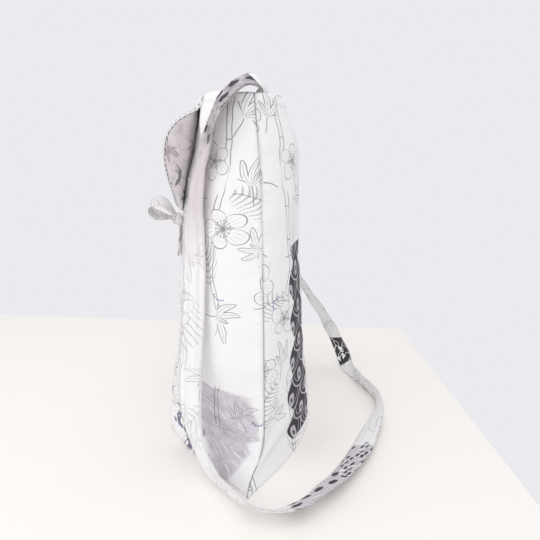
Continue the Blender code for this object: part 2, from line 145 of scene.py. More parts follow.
# The strap's route as shares of the body: half width, depth and height, then the direction of
# the strap's width.
STRAP_ROUTE = [
    (0.7596, 0.1051, 0.97262, -0.6, 0.8, 0),
    (0.7491, 0.1033, 0.99643, -0.76, 0.65, -0.05),
    (0.7456, 0.1010, 1.01350, -0.79, 0.58, 0.2),
    (0.7544, 0.0700, 1.02700, -0.74, 0.05, 0.67),
    (0.7982, 0.0146, 1.02900, -0.67, -0.43, 0.61),
    (0.8333, -0.0565, 1.02700, -0.75, -0.52, 0.4),
    (0.8684, -0.1417, 1.02173, -0.84, -0.49, 0.25),
    (0.8904, -0.2243, 1.00903, -0.91, -0.38, 0.19),
    (0.9000, -0.3040, 0.99200, -0.94, -0.28, 0.17),
    (0.9000, -0.3620, 0.97300, -0.95, -0.22, 0.21),
    (0.8816, -0.4457, 0.93810, -0.96, -0.2, 0.22),
    (0.8245, -0.5065, 0.89524, -0.95, -0.18, 0.26),
    (0.7237, -0.5658, 0.85000, -0.95, -0.21, 0.24),
    (0.6842, -0.6379, 0.78333, -0.88, -0.44, 0.16),
    (0.6755, -0.6761, 0.69762, -0.66, -0.75, 0),
    (0.6754, -0.6935, 0.60714, -0.48, -0.88, 0),
    (0.6886, -0.7228, 0.49881, -0.42, -0.91, 0),
    (0.7061, -0.7717, 0.38667, -0.42, -0.91, 0),
    (0.7457, -0.8207, 0.27000, -0.42, -0.91, 0),
    (0.7939, -0.8315, 0.17810, -0.5, -0.86, -0.05),
    (0.8377, -0.7989, 0.11548, -0.76, -0.55, -0.34),
    (0.9079, -0.7391, 0.07000, -0.64, -0.44, -0.62),
    (1.0175, -0.6576, 0.04700, -0.42, -0.2, -0.88),
    (1.1667, -0.5489, 0.03600, -0.27, 0.06, -0.96),
    (1.3246, -0.4348, 0.03550, -0.24, 0.23, -0.94),
    (1.4781, -0.2880, 0.03450, -0.34, 0.32, -0.88),
    (1.5789, -0.1413, 0.03150, -0.6, 0.28, -0.75),
    (1.6140, 0.0465, 0.02800, -0.77, 0.03, -0.63),
    (1.6009, 0.2326, 0.02619, -0.76, -0.2, -0.6),
    (1.5263, 0.4372, 0.02619, -0.76, -0.34, -0.54),
    (1.3947, 0.6605, 0.02619, -0.76, -0.42, -0.46),
    (1.2018, 0.9395, 0.02143, -0.76, -0.5, -0.38),
    (0.9561, 1.2279, 0.01429, -0.74, -0.6, -0.28),
    (0.6842, 1.4884, 0.00952, -0.64, -0.66, -0.38),
    (0.4386, 1.6930, 0.00952, -0.4, -0.5, -0.76),
    (0.2368, 1.8140, 0.01667, -0.1, -0.05, -0.99),
    (0.0263, 1.8605, 0.02381, 0, 0.22, -0.97),
    (-0.2456, 1.8326, 0.02619, 0, 0.32, -0.94),
    (-0.5263, 1.7953, 0.02857, 0, 0.1, -0.99),
    (-0.7544, 1.7860, 0.04762, -0.05, -0.4, -0.9),
    (-0.8772, 1.7116, 0.10000, -0.76, -0.47, -0.45),
    (-0.9123, 1.5628, 0.18095, -0.78, -0.53, -0.32),
    (-0.9123, 1.4186, 0.24800, -0.86, -0.43, -0.26),
    (-0.9123, 1.2300, 0.32143, -0.91, -0.35, -0.21),
    (-0.9035, 0.9700, 0.42857, -0.98, -0.19, -0.08),
    (-0.8947, 0.7400, 0.57143, -0.7, -0.6, -0.4),
    (-0.8816, 0.5953, 0.71429, -0.58, -0.78, -0.22),
    (-0.8684, 0.4744, 0.85714, -0.66, -0.74, -0.12),
    (-0.8596, 0.3907, 0.95952, -0.68, -0.73, -0.04),
    (-0.8421, 0.3116, 1.00952, -0.68, -0.73, 0),
    (-0.8026, 0.2140, 1.02976, -0.67, -0.74, 0),
    (-0.7412, 0.1228, 1.01786, -0.64, -0.77, 0),
    (-0.7491, 0.1033, 0.99643, -0.6, -0.8, 0),
    (-0.7596, 0.1051, 0.97262, -0.6, -0.8, 0),
]

# The stretch that lies on the table, from and to, and how softly it starts and ends, all as
# shares of the strap's length.
STRAP_LIES = (0.470, 0.650, 0.025)


# Shader formulas

def sign(operation, swapped=False):
    """A method that writes an arithmetic sign as a shader node."""

    def method(self, other):
        pair = (other, self) if swapped else (self, other)
        return self.graph.math(operation, *pair)

    return method


class Value:
    """A number or vector in a shader tree that plain arithmetic can be written with."""

    def __init__(self, graph, socket):
        self.graph = graph
        self.socket = socket

    def __abs__(self):
        return self.graph.math("ABSOLUTE", self)

    __add__ = sign("ADD")
    __radd__ = sign("ADD", swapped=True)
    __sub__ = sign("SUBTRACT")
    __rsub__ = sign("SUBTRACT", swapped=True)
    __mul__ = sign("MULTIPLY")
    __rmul__ = sign("MULTIPLY", swapped=True)
    __truediv__ = sign("DIVIDE")


class Graph:
    """Builds a shader tree from formulas."""

    def __init__(self, tree):
        self.tree = tree

    def node(self, kind, **settings):
        made = self.tree.nodes.new(kind)
        for key, value in settings.items():
            setattr(made, key, value)
        return made

    def put(self, socket, value):
        if isinstance(value, Value):
            self.tree.links.new(value.socket, socket)
        elif isinstance(value, (int, float)):
            socket.default_value = float(value)
        else:
            socket.default_value = value

    def filled(self, made, values):
        """Puts values in a node's first inputs and gives its first output."""
        for socket, value in zip(made.inputs, values):
            self.put(socket, value)
        return Value(self, made.outputs[0])

    def math(self, operation, *values):
        return self.filled(self.node("ShaderNodeMath", operation=operation), values)

    def sine(self, value):
        return self.math("SINE", value)

    def floor(self, value):
        return self.math("FLOOR", value)

    def fold(self, value):
        """Distance to the middle between the two nearest whole numbers."""
        return abs(self.math("FRACT", value) - 0.5)

    def far(self, x, y):
        return self.math("SQRT", x * x + y * y)

    def polar(self, x, y):
        return self.far(x, y), self.math("ARCTAN2", y, x)

    def biggest(self, first, *others):
        for other in others:
            first = self.math("MAXIMUM", first, other)
        return first

    def between(self, value, low, high):
        """0 below low, 1 above high and a smooth step between; the other way if high < low."""
        made = self.node("ShaderNodeMapRange", interpolation_type="SMOOTHSTEP", clamp=True)
        ends = (1.0, 0.0) if high < low else (0.0, 1.0)
        return self.filled(made, (value, min(low, high), max(low, high), *ends))

    def window(self, value, start, full, fade, end):
        """1 from full to fade, 0 before start and past end, with smooth steps."""
        return self.between(value, start, full) * self.between(value, end, fade)

    def line(self, distance, width):
        """1 on a line of this width in millimetres."""
        return self.between(abs(distance), width / 2 + 0.22, max(width / 2 - 0.12, 0.0))

    def split(self, vector):
        made = self.node("ShaderNodeSeparateXYZ")
        self.put(made.inputs[0], vector)
        return [Value(self, socket) for socket in made.outputs]

    def join(self, x, y, z=0.0):
        return self.filled(self.node("ShaderNodeCombineXYZ"), (x, y, z))

    def noise(self, vector, scale, detail=2.0, rough=0.5):
        made = self.node("ShaderNodeTexNoise")
        for name, value in (("Vector", vector), ("Scale", scale), ("Detail", detail),
                            ("Roughness", rough)):
            self.put(made.inputs[name], value)
        return Value(self, made.outputs[0])

    def chance(self, x, y, seed):
        """Three even random numbers for a cell."""
        made = self.node("ShaderNodeTexWhiteNoise", noise_dimensions="3D")
        self.put(made.inputs["Vector"], self.join(x, y, seed))
        return self.split(Value(self, made.outputs["Color"]))

    def mix(self, share, first, second, blend="MIX"):
        made = self.node("ShaderNodeMix", data_type="RGBA", blend_type=blend)
        self.put(made.inputs["Factor"], share)
        for socket, value in ((made.inputs[6], first), (made.inputs[7], second)):
            self.put(socket, (*value, 1.0) if isinstance(value, tuple) else value)
        return Value(self, made.outputs[2])

    def bump(self, height, strength, distance):
        made = self.node("ShaderNodeBump")
        for name, value in (("Height", height), ("Strength", strength), ("Distance", distance)):
            self.put(made.inputs[name], value)
        return made


def new_material(name):
    """A material, its formulas, the place on the object and its main shader's inputs."""
    made = bpy.data.materials.new(name)
    made.use_nodes = True
    g = Graph(made.node_tree)
    place = Value(g, g.node("ShaderNodeTexCoord").outputs["Object"])
    return made, g, place, made.node_tree.nodes["Principled BSDF"].inputs


def group(name, inputs, outputs, recipe):
    """A node group from a recipe that takes and gives values."""
    tree = bpy.data.node_groups.new(name, "ShaderNodeTree")
    for label in inputs:
        tree.interface.new_socket(label, in_out="INPUT", socket_type="NodeSocketFloat")
    for label in outputs:
        tree.interface.new_socket(label, in_out="OUTPUT", socket_type="NodeSocketFloat")
    graph = Graph(tree)
    start = tree.nodes.new("NodeGroupInput")
    end = tree.nodes.new("NodeGroupOutput")
    results = recipe(graph, *[Value(graph, socket) for socket in start.outputs[:len(inputs)]])
    for socket, value in zip(end.inputs, results):
        graph.put(socket, value)
    return tree


def call(graph, tree, *values):
    """The results of a node group for these values."""
    made = graph.node("ShaderNodeGroup", node_tree=tree)
    for socket, value in zip(made.inputs, values):
        graph.put(socket, value)
    return [Value(graph, socket) for socket in made.outputs]


# Motifs of the print, in millimetres

def turned(g, x, y, angle):
    """Coordinates on axes that are turned by an angle."""
    cos, sin = g.math("COSINE", angle), g.math("SINE", angle)
    return x * cos + y * sin, y * cos - x * sin


def blossom(g, x, y, size):
    """A five-petal blossom in fine lines: its lines and the cloth that it covers."""
    r, angle = g.polar(x, y)
    lobe = abs(g.math("COSINE", angle * 2.5))
    edge = size * (0.52 + 0.48 * g.math("POWER", lobe, 0.62))
    edge = edge * (1.0 + 0.13 * g.sine(angle * 2.0 + 0.6))
    outline = g.line(r - edge, 0.85)
    inner = g.window(r, size * 0.16, size * 0.20, size * 0.54, size * 0.60)
    parting = g.line(lobe * r * 0.4, 0.8) * inner
    ray = abs(g.sine(angle * 7.5)) * r / 7.5
    stamen = g.line(ray, 0.6) * g.between(r, size * 0.34, size * 0.30)
    dots = g.between(g.far(ray, r - size * 0.36), 1.05, 0.7)
    vein = abs(g.sine(angle * 12.5)) * r / 12.5
    veins = g.line(vein, 0.4) * g.window(r / edge, 0.46, 0.52, 0.80, 0.90) * 0.5
    heart = g.between(r, 1.8, 1.2)
    lines = g.biggest(outline, parting, stamen, dots, veins, heart)
    return lines, g.between(r - edge, 0.1, -0.1)


def leaf_fan(g, x, y, size):
    """Slim bent leaves of unlike length that hang from one twig."""
    r, angle = g.polar(x, y)
    angle = angle + 0.010 * r
    step = 0.56
    number = g.math("ROUND", angle / step)
    folded = angle - number * step
    along = r * g.math("COSINE", folded)
    across = r * g.sine(folded)
    reach = size * (0.80 + 0.30 * g.sine(number * 2.3 + 0.4))
    share = along / reach
    body = g.biggest(share * (1.0 - share) * 4.0, 0.0)
    half = reach * 0.115 * g.math("POWER", body, 0.75)
    there = g.between(abs(angle + 0.28), 1.38, 1.36) * g.window(share, 0.06, 0.10, 0.99, 1.02)
    outline = g.line(abs(across) - half, 0.85)
    rib = g.line(across, 0.5) * g.between(share, 0.85, 0.80) * 0.8
    stalk = g.line(y - 0.008 * x * x, 1.0) * g.window(x, -0.62 * size, -0.58 * size, 0.0, 0.8)
    lines = g.biggest(g.biggest(outline, rib) * there, stalk)
    return lines, g.between(abs(across) - half, 0.1, -0.1) * there


def frond(g, x, y, size):
    """A bent fern frond whose leaflets are rows of beads."""
    bent = y - x * x / (size * 2.6)
    side = abs(bent)
    share = x / (size * 2.0) + 0.5
    body = g.biggest(share * (1.05 - share) * 3.6, 0.0)
    length = size * 0.62 * g.math("POWER", body, 0.7)
    slanted = x - side * 0.35 - side * side / (size * 1.7)
    pitch = size * 0.20
    off = g.fold(slanted / pitch + 40.0) * pitch
    taper = 1.55 - 0.9 * side / g.biggest(length, 0.5)
    leaflet = g.between(off - taper, 0.2, -0.2) * g.between(side - length, 0.3, -0.3)
    leaflet = leaflet * (1.0 - 0.8 * g.between(g.fold(side / 2.3), 0.22, 0.38))
    ends = g.window(share, 0.02, 0.04, 0.98, 1.0)
    return g.biggest(leaflet, g.line(bent, 1.0)) * ends, ends * 0.0


def dotted_arc(g, x, y, size):
    """A short arc of round dots."""
    r, angle = g.polar(x, y)
    step = math.tau / 16
    around = g.fold(angle / step + 40.0) * step * r
    off = g.far(around, r - size)
    return g.between(off, 1.6, 1.1) * g.between(abs(angle), 1.25, 1.20), r * 0.0


def scattered(name, motif, cell, size, share, seed, lean=math.pi, slant=0.0):
    """Puts a motif in some cells of a slanting grid, each turned, sized and moved a little."""

    def recipe(g, across, up):
        x = across * math.cos(slant) + up * math.sin(slant)
        y = up * math.cos(slant) - across * math.sin(slant)
        column, row = g.floor(x / cell), g.floor(y / cell)
        first = g.chance(column, row, seed)
        second = g.chance(column, row, seed + 7.3)
        loose = max(cell * 0.5 - size * 1.04, 0.0)
        middle_x = (column + 0.5) * cell + (first[0] * 2.0 - 1.0) * loose
        middle_y = (row + 0.5) * cell + (first[1] * 2.0 - 1.0) * loose
        turn = (first[2] * 2.0 - 1.0) * lean + math.pi / 2 - slant
        scale = second[0] * 0.34 + 0.72
        u, v = turned(g, x - middle_x, y - middle_y, turn)
        lines, cover = motif(g, u / scale, v / scale, size)
        here = g.math("LESS_THAN", second[1], share)
        return lines * here, cover * here

    return group(name, ["x", "y"], ["lines", "cover"], recipe)


def scales_recipe(g, x, y):
    """Overlapping fish scales with rings: how pale each point is."""
    r = 8.0
    row = g.floor(y / r)
    odd = g.math("MODULO", abs(row), 2.0)
    fx = (g.math("FRACT", x / (2 * r) + 0.5 * odd + 40.0) - 0.5) * (2 * r)
    fy = (1.0 - (y / r - row)) * r
    first = g.far(fx, fy)
    second = g.far(r - abs(fx), r - fy)
    upper = g.math("LESS_THAN", first, r)
    d = first * upper + second * (1.0 - upper)
    rings = g.biggest(g.line(d - 7.7, 0.45), g.line(d - 5.6, 0.30) * 0.65)
    bead_y = fy - 2.6
    bead = g.math("SQRT", fx * fx * 1.5 + bead_y * bead_y * 0.6)
    bead = g.between(bead, 2.6, 2.3) * upper
    core = g.between(g.math("SQRT", fx * fx * 2 + (fy - 3.1) * (fy - 3.1)), 1.25, 0.95)
    return [g.biggest(rings, bead * 0.85) * (1.0 - core * upper)]


scales_group = group("overlapping_scales", ["x", "y"], ["pale"], scales_recipe)


def weave(g, x, y, pitch):
    """Plain weave: the height of the threads, from 0 to 1."""
    return g.sine(x * (math.tau / pitch)) * g.sine(y * (math.tau / pitch)) * 0.5 + 0.5


# Colours of the print, and one painted shade for the strap's edges
GROUND = (0.860, 0.853, 0.858)
FAINT_GROUND = (0.72, 0.69, 0.695)
BEIGE = (0.66, 0.60, 0.605)
LINE_GREY = (0.185, 0.178, 0.190)
CHARCOAL = (0.040, 0.034, 0.046)
BLACK = (0.02, 0.018, 0.02)
VIOLET = (0.125, 0.125, 0.33)
SPOT = (0.13, 0.115, 0.20)
WASH = (0.54, 0.515, 0.56)
PALE_WASH = (0.66, 0.635, 0.68)
STROKE = (0.82, 0.80, 0.83)
SCALE_GREY = (0.62, 0.60, 0.63)
SMOKE = (0.26, 0.235, 0.255)
PALE_SMOKE = (0.52, 0.475, 0.50)
HATCH_GREY = (0.52, 0.49, 0.53)
# A painted shade for the strap's edges, stitch grooves and lengthwise fold.
PAINTED_EDGE_SHADE = (0.30, 0.25, 0.26)


def cotton(name, base, colour_of=None, pitch=0.62, crinkle=0.35, sewn=False):
    """A woven cotton: colour_of(graph, x, y) gives its print, in millimetres of cloth."""
    made, g, place, inputs = new_material(name)
    coords = g.node("ShaderNodeUVMap", uv_map="cloth")
    x, y, _ = g.split(Value(g, coords.outputs[0]))
    x, y = x * 1000.0, y * 1000.0
    threads = weave(g, x, y, pitch)
    slub = g.noise(g.join(x * 0.9, y * 0.09), 1.0, 3.0, 0.6)
    soft = g.noise(place, 26.0, 3.0, 0.55)
    colour = colour_of(g, x, y) if colour_of else base
    shade = 0.945 + threads * 0.04 + slub * 0.04 + soft * 0.02
    # Along a side seam, a painted shadow darkens a thin line in the seam's groove, and a faint
    # painted shade darkens the cloth up to 4 mm from it.
    if sewn:
        marked = g.node("ShaderNodeAttribute", attribute_name="seam_distance")
        gap = Value(g, marked.outputs["Fac"]) * 1000.0
        line = g.between(gap, 0.95, 0.20) * 0.45
        shade = shade * (1.0 - line - g.between(gap, 4.0, 0.5) * 0.06)
    g.put(inputs["Base Color"], g.mix(1.0, colour, g.join(shade, shade, shade), "MULTIPLY"))
    g.put(inputs["Roughness"], 0.82 + threads * 0.08)
    g.put(inputs["Specular IOR Level"], 0.25)
    g.put(inputs["Sheen Weight"], 0.08)
    g.put(inputs["Sheen Roughness"], 0.5)
    broad = g.bump(g.noise(place, 42.0, 4.0, 0.5), crinkle, 0.004)
    fine = g.bump(threads + slub * 0.6, 0.35, 0.00012)
    g.put(fine.inputs["Normal"], Value(g, broad.outputs[0]))
    g.put(inputs["Normal"], Value(g, fine.outputs[0]))
    return made


def print_groups(tag, seed):
    """The scattered motifs of one cloth."""
    return {
        "blossoms": scattered(tag + "_blossoms", blossom, 72.0, 24.0, 0.50, seed, slant=0.55),
        "fans": scattered(tag + "_fans", leaf_fan, 66.0, 33.0, 0.85, seed + 1.7, 2.2, 0.24),
        "fronds": scattered(tag + "_fronds", frond, 84.0, 38.0, 0.50, seed + 3.1, 1.4, 0.8),
        "arcs": scattered(tag + "_arcs", dotted_arc, 77.0, 10.0, 0.34, seed + 5.9, slant=0.4),
    }


def wash_cloud(g, x, y, px, py, wash):
    """The cloth's ground under a soft grey cloud, and how high each point is in the cloud."""
    low, high, left, right = wash
    drift = g.noise(g.join(px * 0.6, py), 0.020, 1.0) - 0.5
    level = y + drift * 130.0 - abs(x - 95.0) * 0.35
    side = x + drift * 50.0
    cloud = g.window(level, low - 4.0, low + 3.0, high - 4.0, high + 5.0)
    cloud = cloud * g.window(side, left - 4.0, left + 3.0, right - 3.0, right + 4.0)
    depth = g.noise(g.join(px, py * 1.8), 0.05, 4.0, 0.6)
    tone = g.mix(g.between(depth, 0.35, 0.65), WASH, PALE_WASH)
    combed = g.sine((py + drift * 46.0 + px * 0.35) * 1.05)
    strokes = g.between(combed, 0.72, 0.92)
    strokes = strokes * g.between(g.noise(g.join(px, py), 0.09), 0.44, 0.54)
    return g.mix(cloud, GROUND, g.mix(strokes * 0.8, tone, STROKE)), level


def scale_band(g, x, y, band, colour_now):
    """A charcoal band of pale fish scales with wavy sides, from one height to another."""
    middle, half, low, high = band
    drawn = x - (middle + 4.0 * g.sine(y / 29.0))
    edge = half + 13.0 * abs(g.sine(y * math.pi / 48.0)) - y * 0.045
    cover = g.between(abs(drawn) - edge, 0.25, -0.25)
    cover = cover * g.window(y, low - 0.3, low + 0.3, high - 0.6, high)
    pale = call(g, scales_group, drawn / 3.1, y / 3.0)[0]
    return g.mix(cover, colour_now, g.mix(pale * 0.92, CHARCOAL, SCALE_GREY))


def printed(tag, seed, wash=None, band=None, strap=False, faint=False, sewn=False):
    """A print of grey lines on white, with a soft cloud or a charcoal band where asked."""
    parts = print_groups(tag, seed)

    def colour(g, x, y):
        sway = g.noise(g.join(x, y, seed), 0.028, 1.5)
        stray = g.noise(g.join(y, x, seed + 3.0), 0.028, 1.5)
        px = x + (sway - 0.5) * 13.0
        py = y + (stray - 0.5) * 13.0
        flowers, flower_cover = call(g, parts["blossoms"], px, py)
        fans, fan_cover = call(g, parts["fans"], px + 23.0, py + 11.0)
        fronds, _ = call(g, parts["fronds"], px + 31.0, py + 40.0)
        arcs, _ = call(g, parts["arcs"], px + 12.0, py + 57.0)
        sway = px + 5.5 * g.sine(py / 33.0) + 2.0 * g.sine(py / 12.0 + 1.0)
        off = g.fold(sway / 83.0 + 40.31) * 83.0
        stems = g.line(off - 2.9, 0.95)
        knots = g.fold(py / 36.0 + 40.0) * 36.0
        stems = g.biggest(stems, g.line(knots, 1.0) * g.between(off, 3.4, 3.1))
        stems = stems * g.between(g.noise(g.join(px, py), 0.011, 1.0), 0.46, 0.50)
        open_cloth = 1.0 - flower_cover
        open_fans = open_cloth * (1.0 - fan_cover)
        ink = g.biggest(flowers, fans * open_cloth, fronds * open_fans * 0.85,
                        stems * open_fans)
        ground = FAINT_GROUND if faint else GROUND
        if wash:
            ground, level = wash_cloud(g, x, y, px, py, wash)
        if faint:
            ink = ink * 0.60
        if strap:
            ink = ink * (0.35 + 0.5 * g.between(y, 32.0, 30.0) + 0.2 * g.between(y, 150.0, 210.0)
                         + 0.3 * g.between(y, 520.0, 640.0))
        colour_now = g.mix(ink * 0.82, ground, LINE_GREY)
        colour_now = g.mix(arcs * open_fans * 0.9, colour_now, VIOLET)
        if band:
            colour_now = scale_band(g, x, y, band, colour_now)
        if strap:
            colour_now = strap_print(g, x, y, seed, colour_now)
        if wash:
            spots = g.between(g.noise(g.join(px, py), 0.11), 0.44, 0.48)
            spots = spots * g.window(level, -24.0, -19.0, 14.0, 20.0)
            spots = spots * g.window(x, 15.0, 22.0, 76.0, 84.0)
            colour_now = g.mix(spots * 0.9, colour_now, SPOT)
        return colour_now

    return cotton(tag + "_cotton", GROUND, colour, crinkle=0.6 if sewn else 0.35, sewn=sewn)


def blots(g, x, y, seed, pitch, size, share, tall):
    """Uneven dark blots in some cells of a slanting grid."""
    warp = g.noise(g.join(x, y, seed), 0.17) - 0.5
    bx = (x + warp * 5.0) / pitch + y / pitch * 0.31
    by = (y + warp * 7.0) / pitch * 0.8 - x / pitch * 0.2
    cx, cy = g.floor(bx), g.floor(by)
    luck = g.chance(cx, cy, seed)
    dx = ((bx - cx - 0.5) + (luck[0] - 0.5) * 0.3) * pitch
    dy = ((by - cy - 0.5) + (luck[1] - 0.5) * 0.3) * pitch / tall
    blot = g.between(g.far(dx, dy), size, size * 0.82)
    return blot * g.math("LESS_THAN", luck[2], share)


def strap_print(g, x, y, seed, colour_now):
    """The strap's beige first stretch and its dark stretches; y runs along the strap."""
    along = y + (g.noise(g.join(x * 1.4, y), 0.045) - 0.5) * 46.0
    past_root = g.between(y, 30.0, 32.0)
    beige = g.between(along, 262.0, 165.0) * past_root
    colour_now = g.mix(beige * 0.92, colour_now, BEIGE)
    smoke = g.noise(g.join(x, y * 0.7), 0.16, 4.0, 0.6)
    grey = g.mix(g.between(smoke, 0.38, 0.62), SMOKE, PALE_SMOKE)
    patch = past_root * g.between(along, 132.0, 104.0)
    hatch_at = g.window(along, 598.0, 604.0, 746.0, 752.0)
    block_at = g.window(y, 962.0, 964.0, 1008.0, 1010.0)
    colour_now = g.mix(patch * 0.94, colour_now, grey)
    bent = g.noise(g.join(x, y, 4.0), 0.03, 1.0) - 0.5
    hatch = g.fold((x * 0.8 + y + bent * 60.0) / 7.5)
    colour_now = g.mix(hatch_at * 0.9, colour_now, HATCH_GREY)
    colour_now = g.mix(g.between(hatch, 0.33, 0.38) * hatch_at * 0.8, colour_now, GROUND)
    further = g.between(along, 680.0, 686.0)
    big = blots(g, x, y, seed + 21.0, 15.0, 5.0, 0.60, 1.1)
    small = blots(g, x, y, seed + 33.0, 7.6, 1.9, 0.85, 1.7)
    marked = big * g.biggest(patch, hatch_at) * (1.0 - further) + small * hatch_at * further
    colour_now = g.mix(marked, colour_now, CHARCOAL)
    check = g.noise(g.join(x, y), 0.075, 1.5)
    block = g.mix(g.between(abs(check - 0.50), 0.026, 0.016), BLACK, GROUND)
    colour_now = g.mix(block_at * 0.97, colour_now, block)
    # Painted shade: the strap is darker at its edges, along its stitch grooves and along a soft
    # lengthwise fold.
    wide = STRAP_WIDTH * 1000.0
    edge = (0.5 - g.fold((x + wide / 2) / wide)) * wide
    sewn = g.biggest(g.between(edge, 0.95, 0.35) * 0.5, g.line(edge - 2.2, 0.8) * 0.22,
                     g.line(edge - 8.5, 2.4) * 0.08)
    return g.mix(sewn, colour_now, PAINTED_EDGE_SHADE)


def tone_on_tone(tag, seed, light, dark):
    """Lining cloth with a darker leaf print."""
    fans = scattered(tag + "_fans", leaf_fan, 40.0, 23.0, 0.80, seed, slant=0.5)

    def colour(g, x, y):
        lines, cover = call(g, fans, x, y)
        flecks = g.between(g.noise(g.join(x, y), 0.075, 4.0, 0.65), 0.50, 0.60)
        ground = g.mix(flecks * 0.55, light, dark)
        deep = tuple(value * 0.30 for value in dark)
        filled = g.between(g.noise(g.join(x, y), 0.02, 1.0), 0.50, 0.53)
        ground = g.mix(cover * (0.25 + 0.65 * filled), ground, deep)
        return g.mix(lines * 0.85, ground, deep)

    return cotton(tag + "_cotton", light, colour)


# Surfaces

def smooth_rows(rows, at):
    """Values between the rows of a table, without overshoot; at runs along the row numbers."""
    table = np.array(rows, dtype=float)
    steps = np.diff(table, axis=0)
    slopes = np.zeros_like(table)
    product = steps[:-1] * steps[1:]
    total = steps[:-1] + steps[1:]
    ok = product > 0
    slopes[1:-1][ok] = 2 * product[ok] / total[ok]
    slopes[0], slopes[-1] = steps[0], steps[-1]
    index = np.clip(np.floor(at).astype(int), 0, len(table) - 2)
    t = (at - index)[:, None]
    a, b = table[index], table[index + 1]
    m, n = slopes[index], slopes[index + 1]
    return ((2 * t**3 - 3 * t**2 + 1) * a + (t**3 - 2 * t**2 + t) * m
            + (3 * t**2 - 2 * t**3) * b + (t**3 - t**2) * n)


def sections_at(heights):
    """The section's numbers at any heights, as shares, going down."""
    known = np.array([row[0] for row in SECTIONS])
    numbers = np.interp(-np.array(heights), -known, np.arange(len(SECTIONS)))
    values = smooth_rows(SECTIONS, numbers)
    values[:, 0] = heights
    return values


def section_points(values, shares, side, inward):
    """Points of the body's sections, rows by columns, moved inward by a cloth's thickness."""
    height, wide, front, back, seam, power, rounded = [v[:, None] for v in values.T]
    half_width = BODY_HALF_WIDTH * wide - 2.2 * inward
    depth = (FRONT_DEPTH * front if side < 0 else BACK_DEPTH * back) - 1.06 * inward
    if side > 0:
        power = power + 0.55 * (1 - np.minimum(height / 0.25, 1))
    share = shares[None, :]
    bulge = (1 - np.abs(share) ** power) ** (1 / rounded)
    for which, place, level, reach, deep in HOLLOWS:
        if which == side:
            off = ((share - place) / reach) ** 2 + ((height - level) * 2.0 / reach) ** 2
            depth = depth - BODY_HALF_WIDTH * deep * np.exp(-off) * np.minimum(bulge * 3, 1)
    y = SEAM_SHIFT * seam + side * (CLEARANCE / 2 + depth * bulge)
    return np.stack(np.broadcast_arrays(half_width * share, y, HEIGHT * height), axis=2)


def front_face(height):
    """Where the middle of the front stands, in y, at a height given as a share."""
    values = sections_at([height])
    return section_points(values, np.array([0.0]), -1, HEM_STEP)[0, 0, 1]


def across_body(share):
    """The place from front to back for a share of the depth, which is under zero in front."""
    share = np.asarray(share, dtype=float)
    return SEAM_SHIFT * SECTIONS[0][4] + share * np.where(share < 0, FRONT_DEPTH, BACK_DEPTH)


def unit(vectors):
    return vectors / np.maximum(np.linalg.norm(vectors, axis=-1, keepdims=True), 1e-12)


def square_to(vectors, along):
    """Unit vectors at right angles to other unit vectors."""
    return unit(vectors - along * np.sum(along * vectors, axis=-1, keepdims=True))


def normals_of(points):
    """Unit normals of a grid of points."""
    return unit(np.cross(np.gradient(points, axis=1), np.gradient(points, axis=0)))


def arcs_of(points, axis):
    """Length along a line, or along a grid's rows or columns, up to each point."""
    steps = np.linalg.norm(np.diff(points, axis=axis), axis=-1)
    zero = np.zeros_like(np.take(steps, [0], axis=axis))
    return np.concatenate([zero, np.cumsum(steps, axis=axis)], axis=axis)


def from_edge(u):
    """Distance across the cloth from its nearer edge."""
    return np.abs(u).max(axis=1, keepdims=True) - np.abs(u)


def ripples(u, v, seed, scale):
    """Smooth uneven waves over a cloth, from about -1 to 1."""
    chance = np.random.RandomState(seed)
    waves = 9
    total = np.zeros_like(u)
    for _ in range(waves):
        angle = chance.uniform(0, math.pi)
        length = scale * chance.uniform(0.6, 1.7)
        turn = chance.uniform(0, math.tau)
        bend = chance.uniform(0.5, 1.5)
        phase = (u * math.cos(angle) + v * math.sin(angle)) * math.tau / length + turn
        total += np.sin(phase + bend * np.sin((v - u) * 4 / scale + turn))
    return total / (waves / 2) ** 0.5 / 3


def bell(value, width):
    return np.exp(-(value / width) ** 2)


def ramp(value, reach):
    """0 up to zero, 1 from the reach on and straight between."""
    return np.clip(value / reach, 0, 1)


def eased(share):
    return share * share * (3 - 2 * share)


def read_at(at, known, values):
    """Three-number values along a line, read off between the known places."""
    return np.stack([np.interp(at, known, values[:, k]) for k in range(3)], axis=1)


def smoothed(values, times):
    """A row of values with the inner ones evened out."""
    values = values.copy()
    for _ in range(times):
        values[1:-1] = (values[:-2] + 2 * values[1:-1] + values[2:]) / 4
    return values


def make_object(name, points, faces, coords, cloth):
    """A smooth-shaded piece of cloth with its flat coordinates, fixed to the body."""
    mesh = bpy.data.meshes.new(name)
    mesh.from_pydata([tuple(point) for point in points], [], faces)
    layer = mesh.uv_layers.new(name="cloth")
    index = np.empty(len(mesh.loops), dtype=np.int32)
    mesh.loops.foreach_get("vertex_index", index)
    layer.data.foreach_set("uv", np.asarray(coords, dtype=float)[index].ravel())
    mesh.materials.append(cloth)
    tidy = bmesh.new()
    tidy.from_mesh(mesh)
    bmesh.ops.recalc_face_normals(tidy, faces=tidy.faces)
    tidy.to_mesh(mesh)
    tidy.free()
    mesh.polygons.foreach_set("use_smooth", [True] * len(mesh.polygons))
    made = bpy.data.objects.new(name, mesh)
    bpy.context.scene.collection.objects.link(made)
    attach(made, "root")
    return made


def quads(number, closed=False):
    """Faces between the rows and columns of a grid of point numbers."""
    if closed:
        number = np.hstack([number, number[:, :1]])
    corners = number[:-1, :-1], number[:-1, 1:], number[1:, 1:], number[1:, :-1]
    return np.stack(corners, axis=2).reshape(-1, 4).tolist()


def rim_of(number):
    """The numbers round the edge of a grid, and the numbers one step inside them."""
    rim = [number[0, :], number[1:, -1], number[-1, -2::-1], number[-2:0:-1, 0]]
    inside = [number[1, :], number[1:, -2], number[-2, -2::-1], number[-2:0:-1, 1]]
    return np.concatenate(rim), np.concatenate(inside)


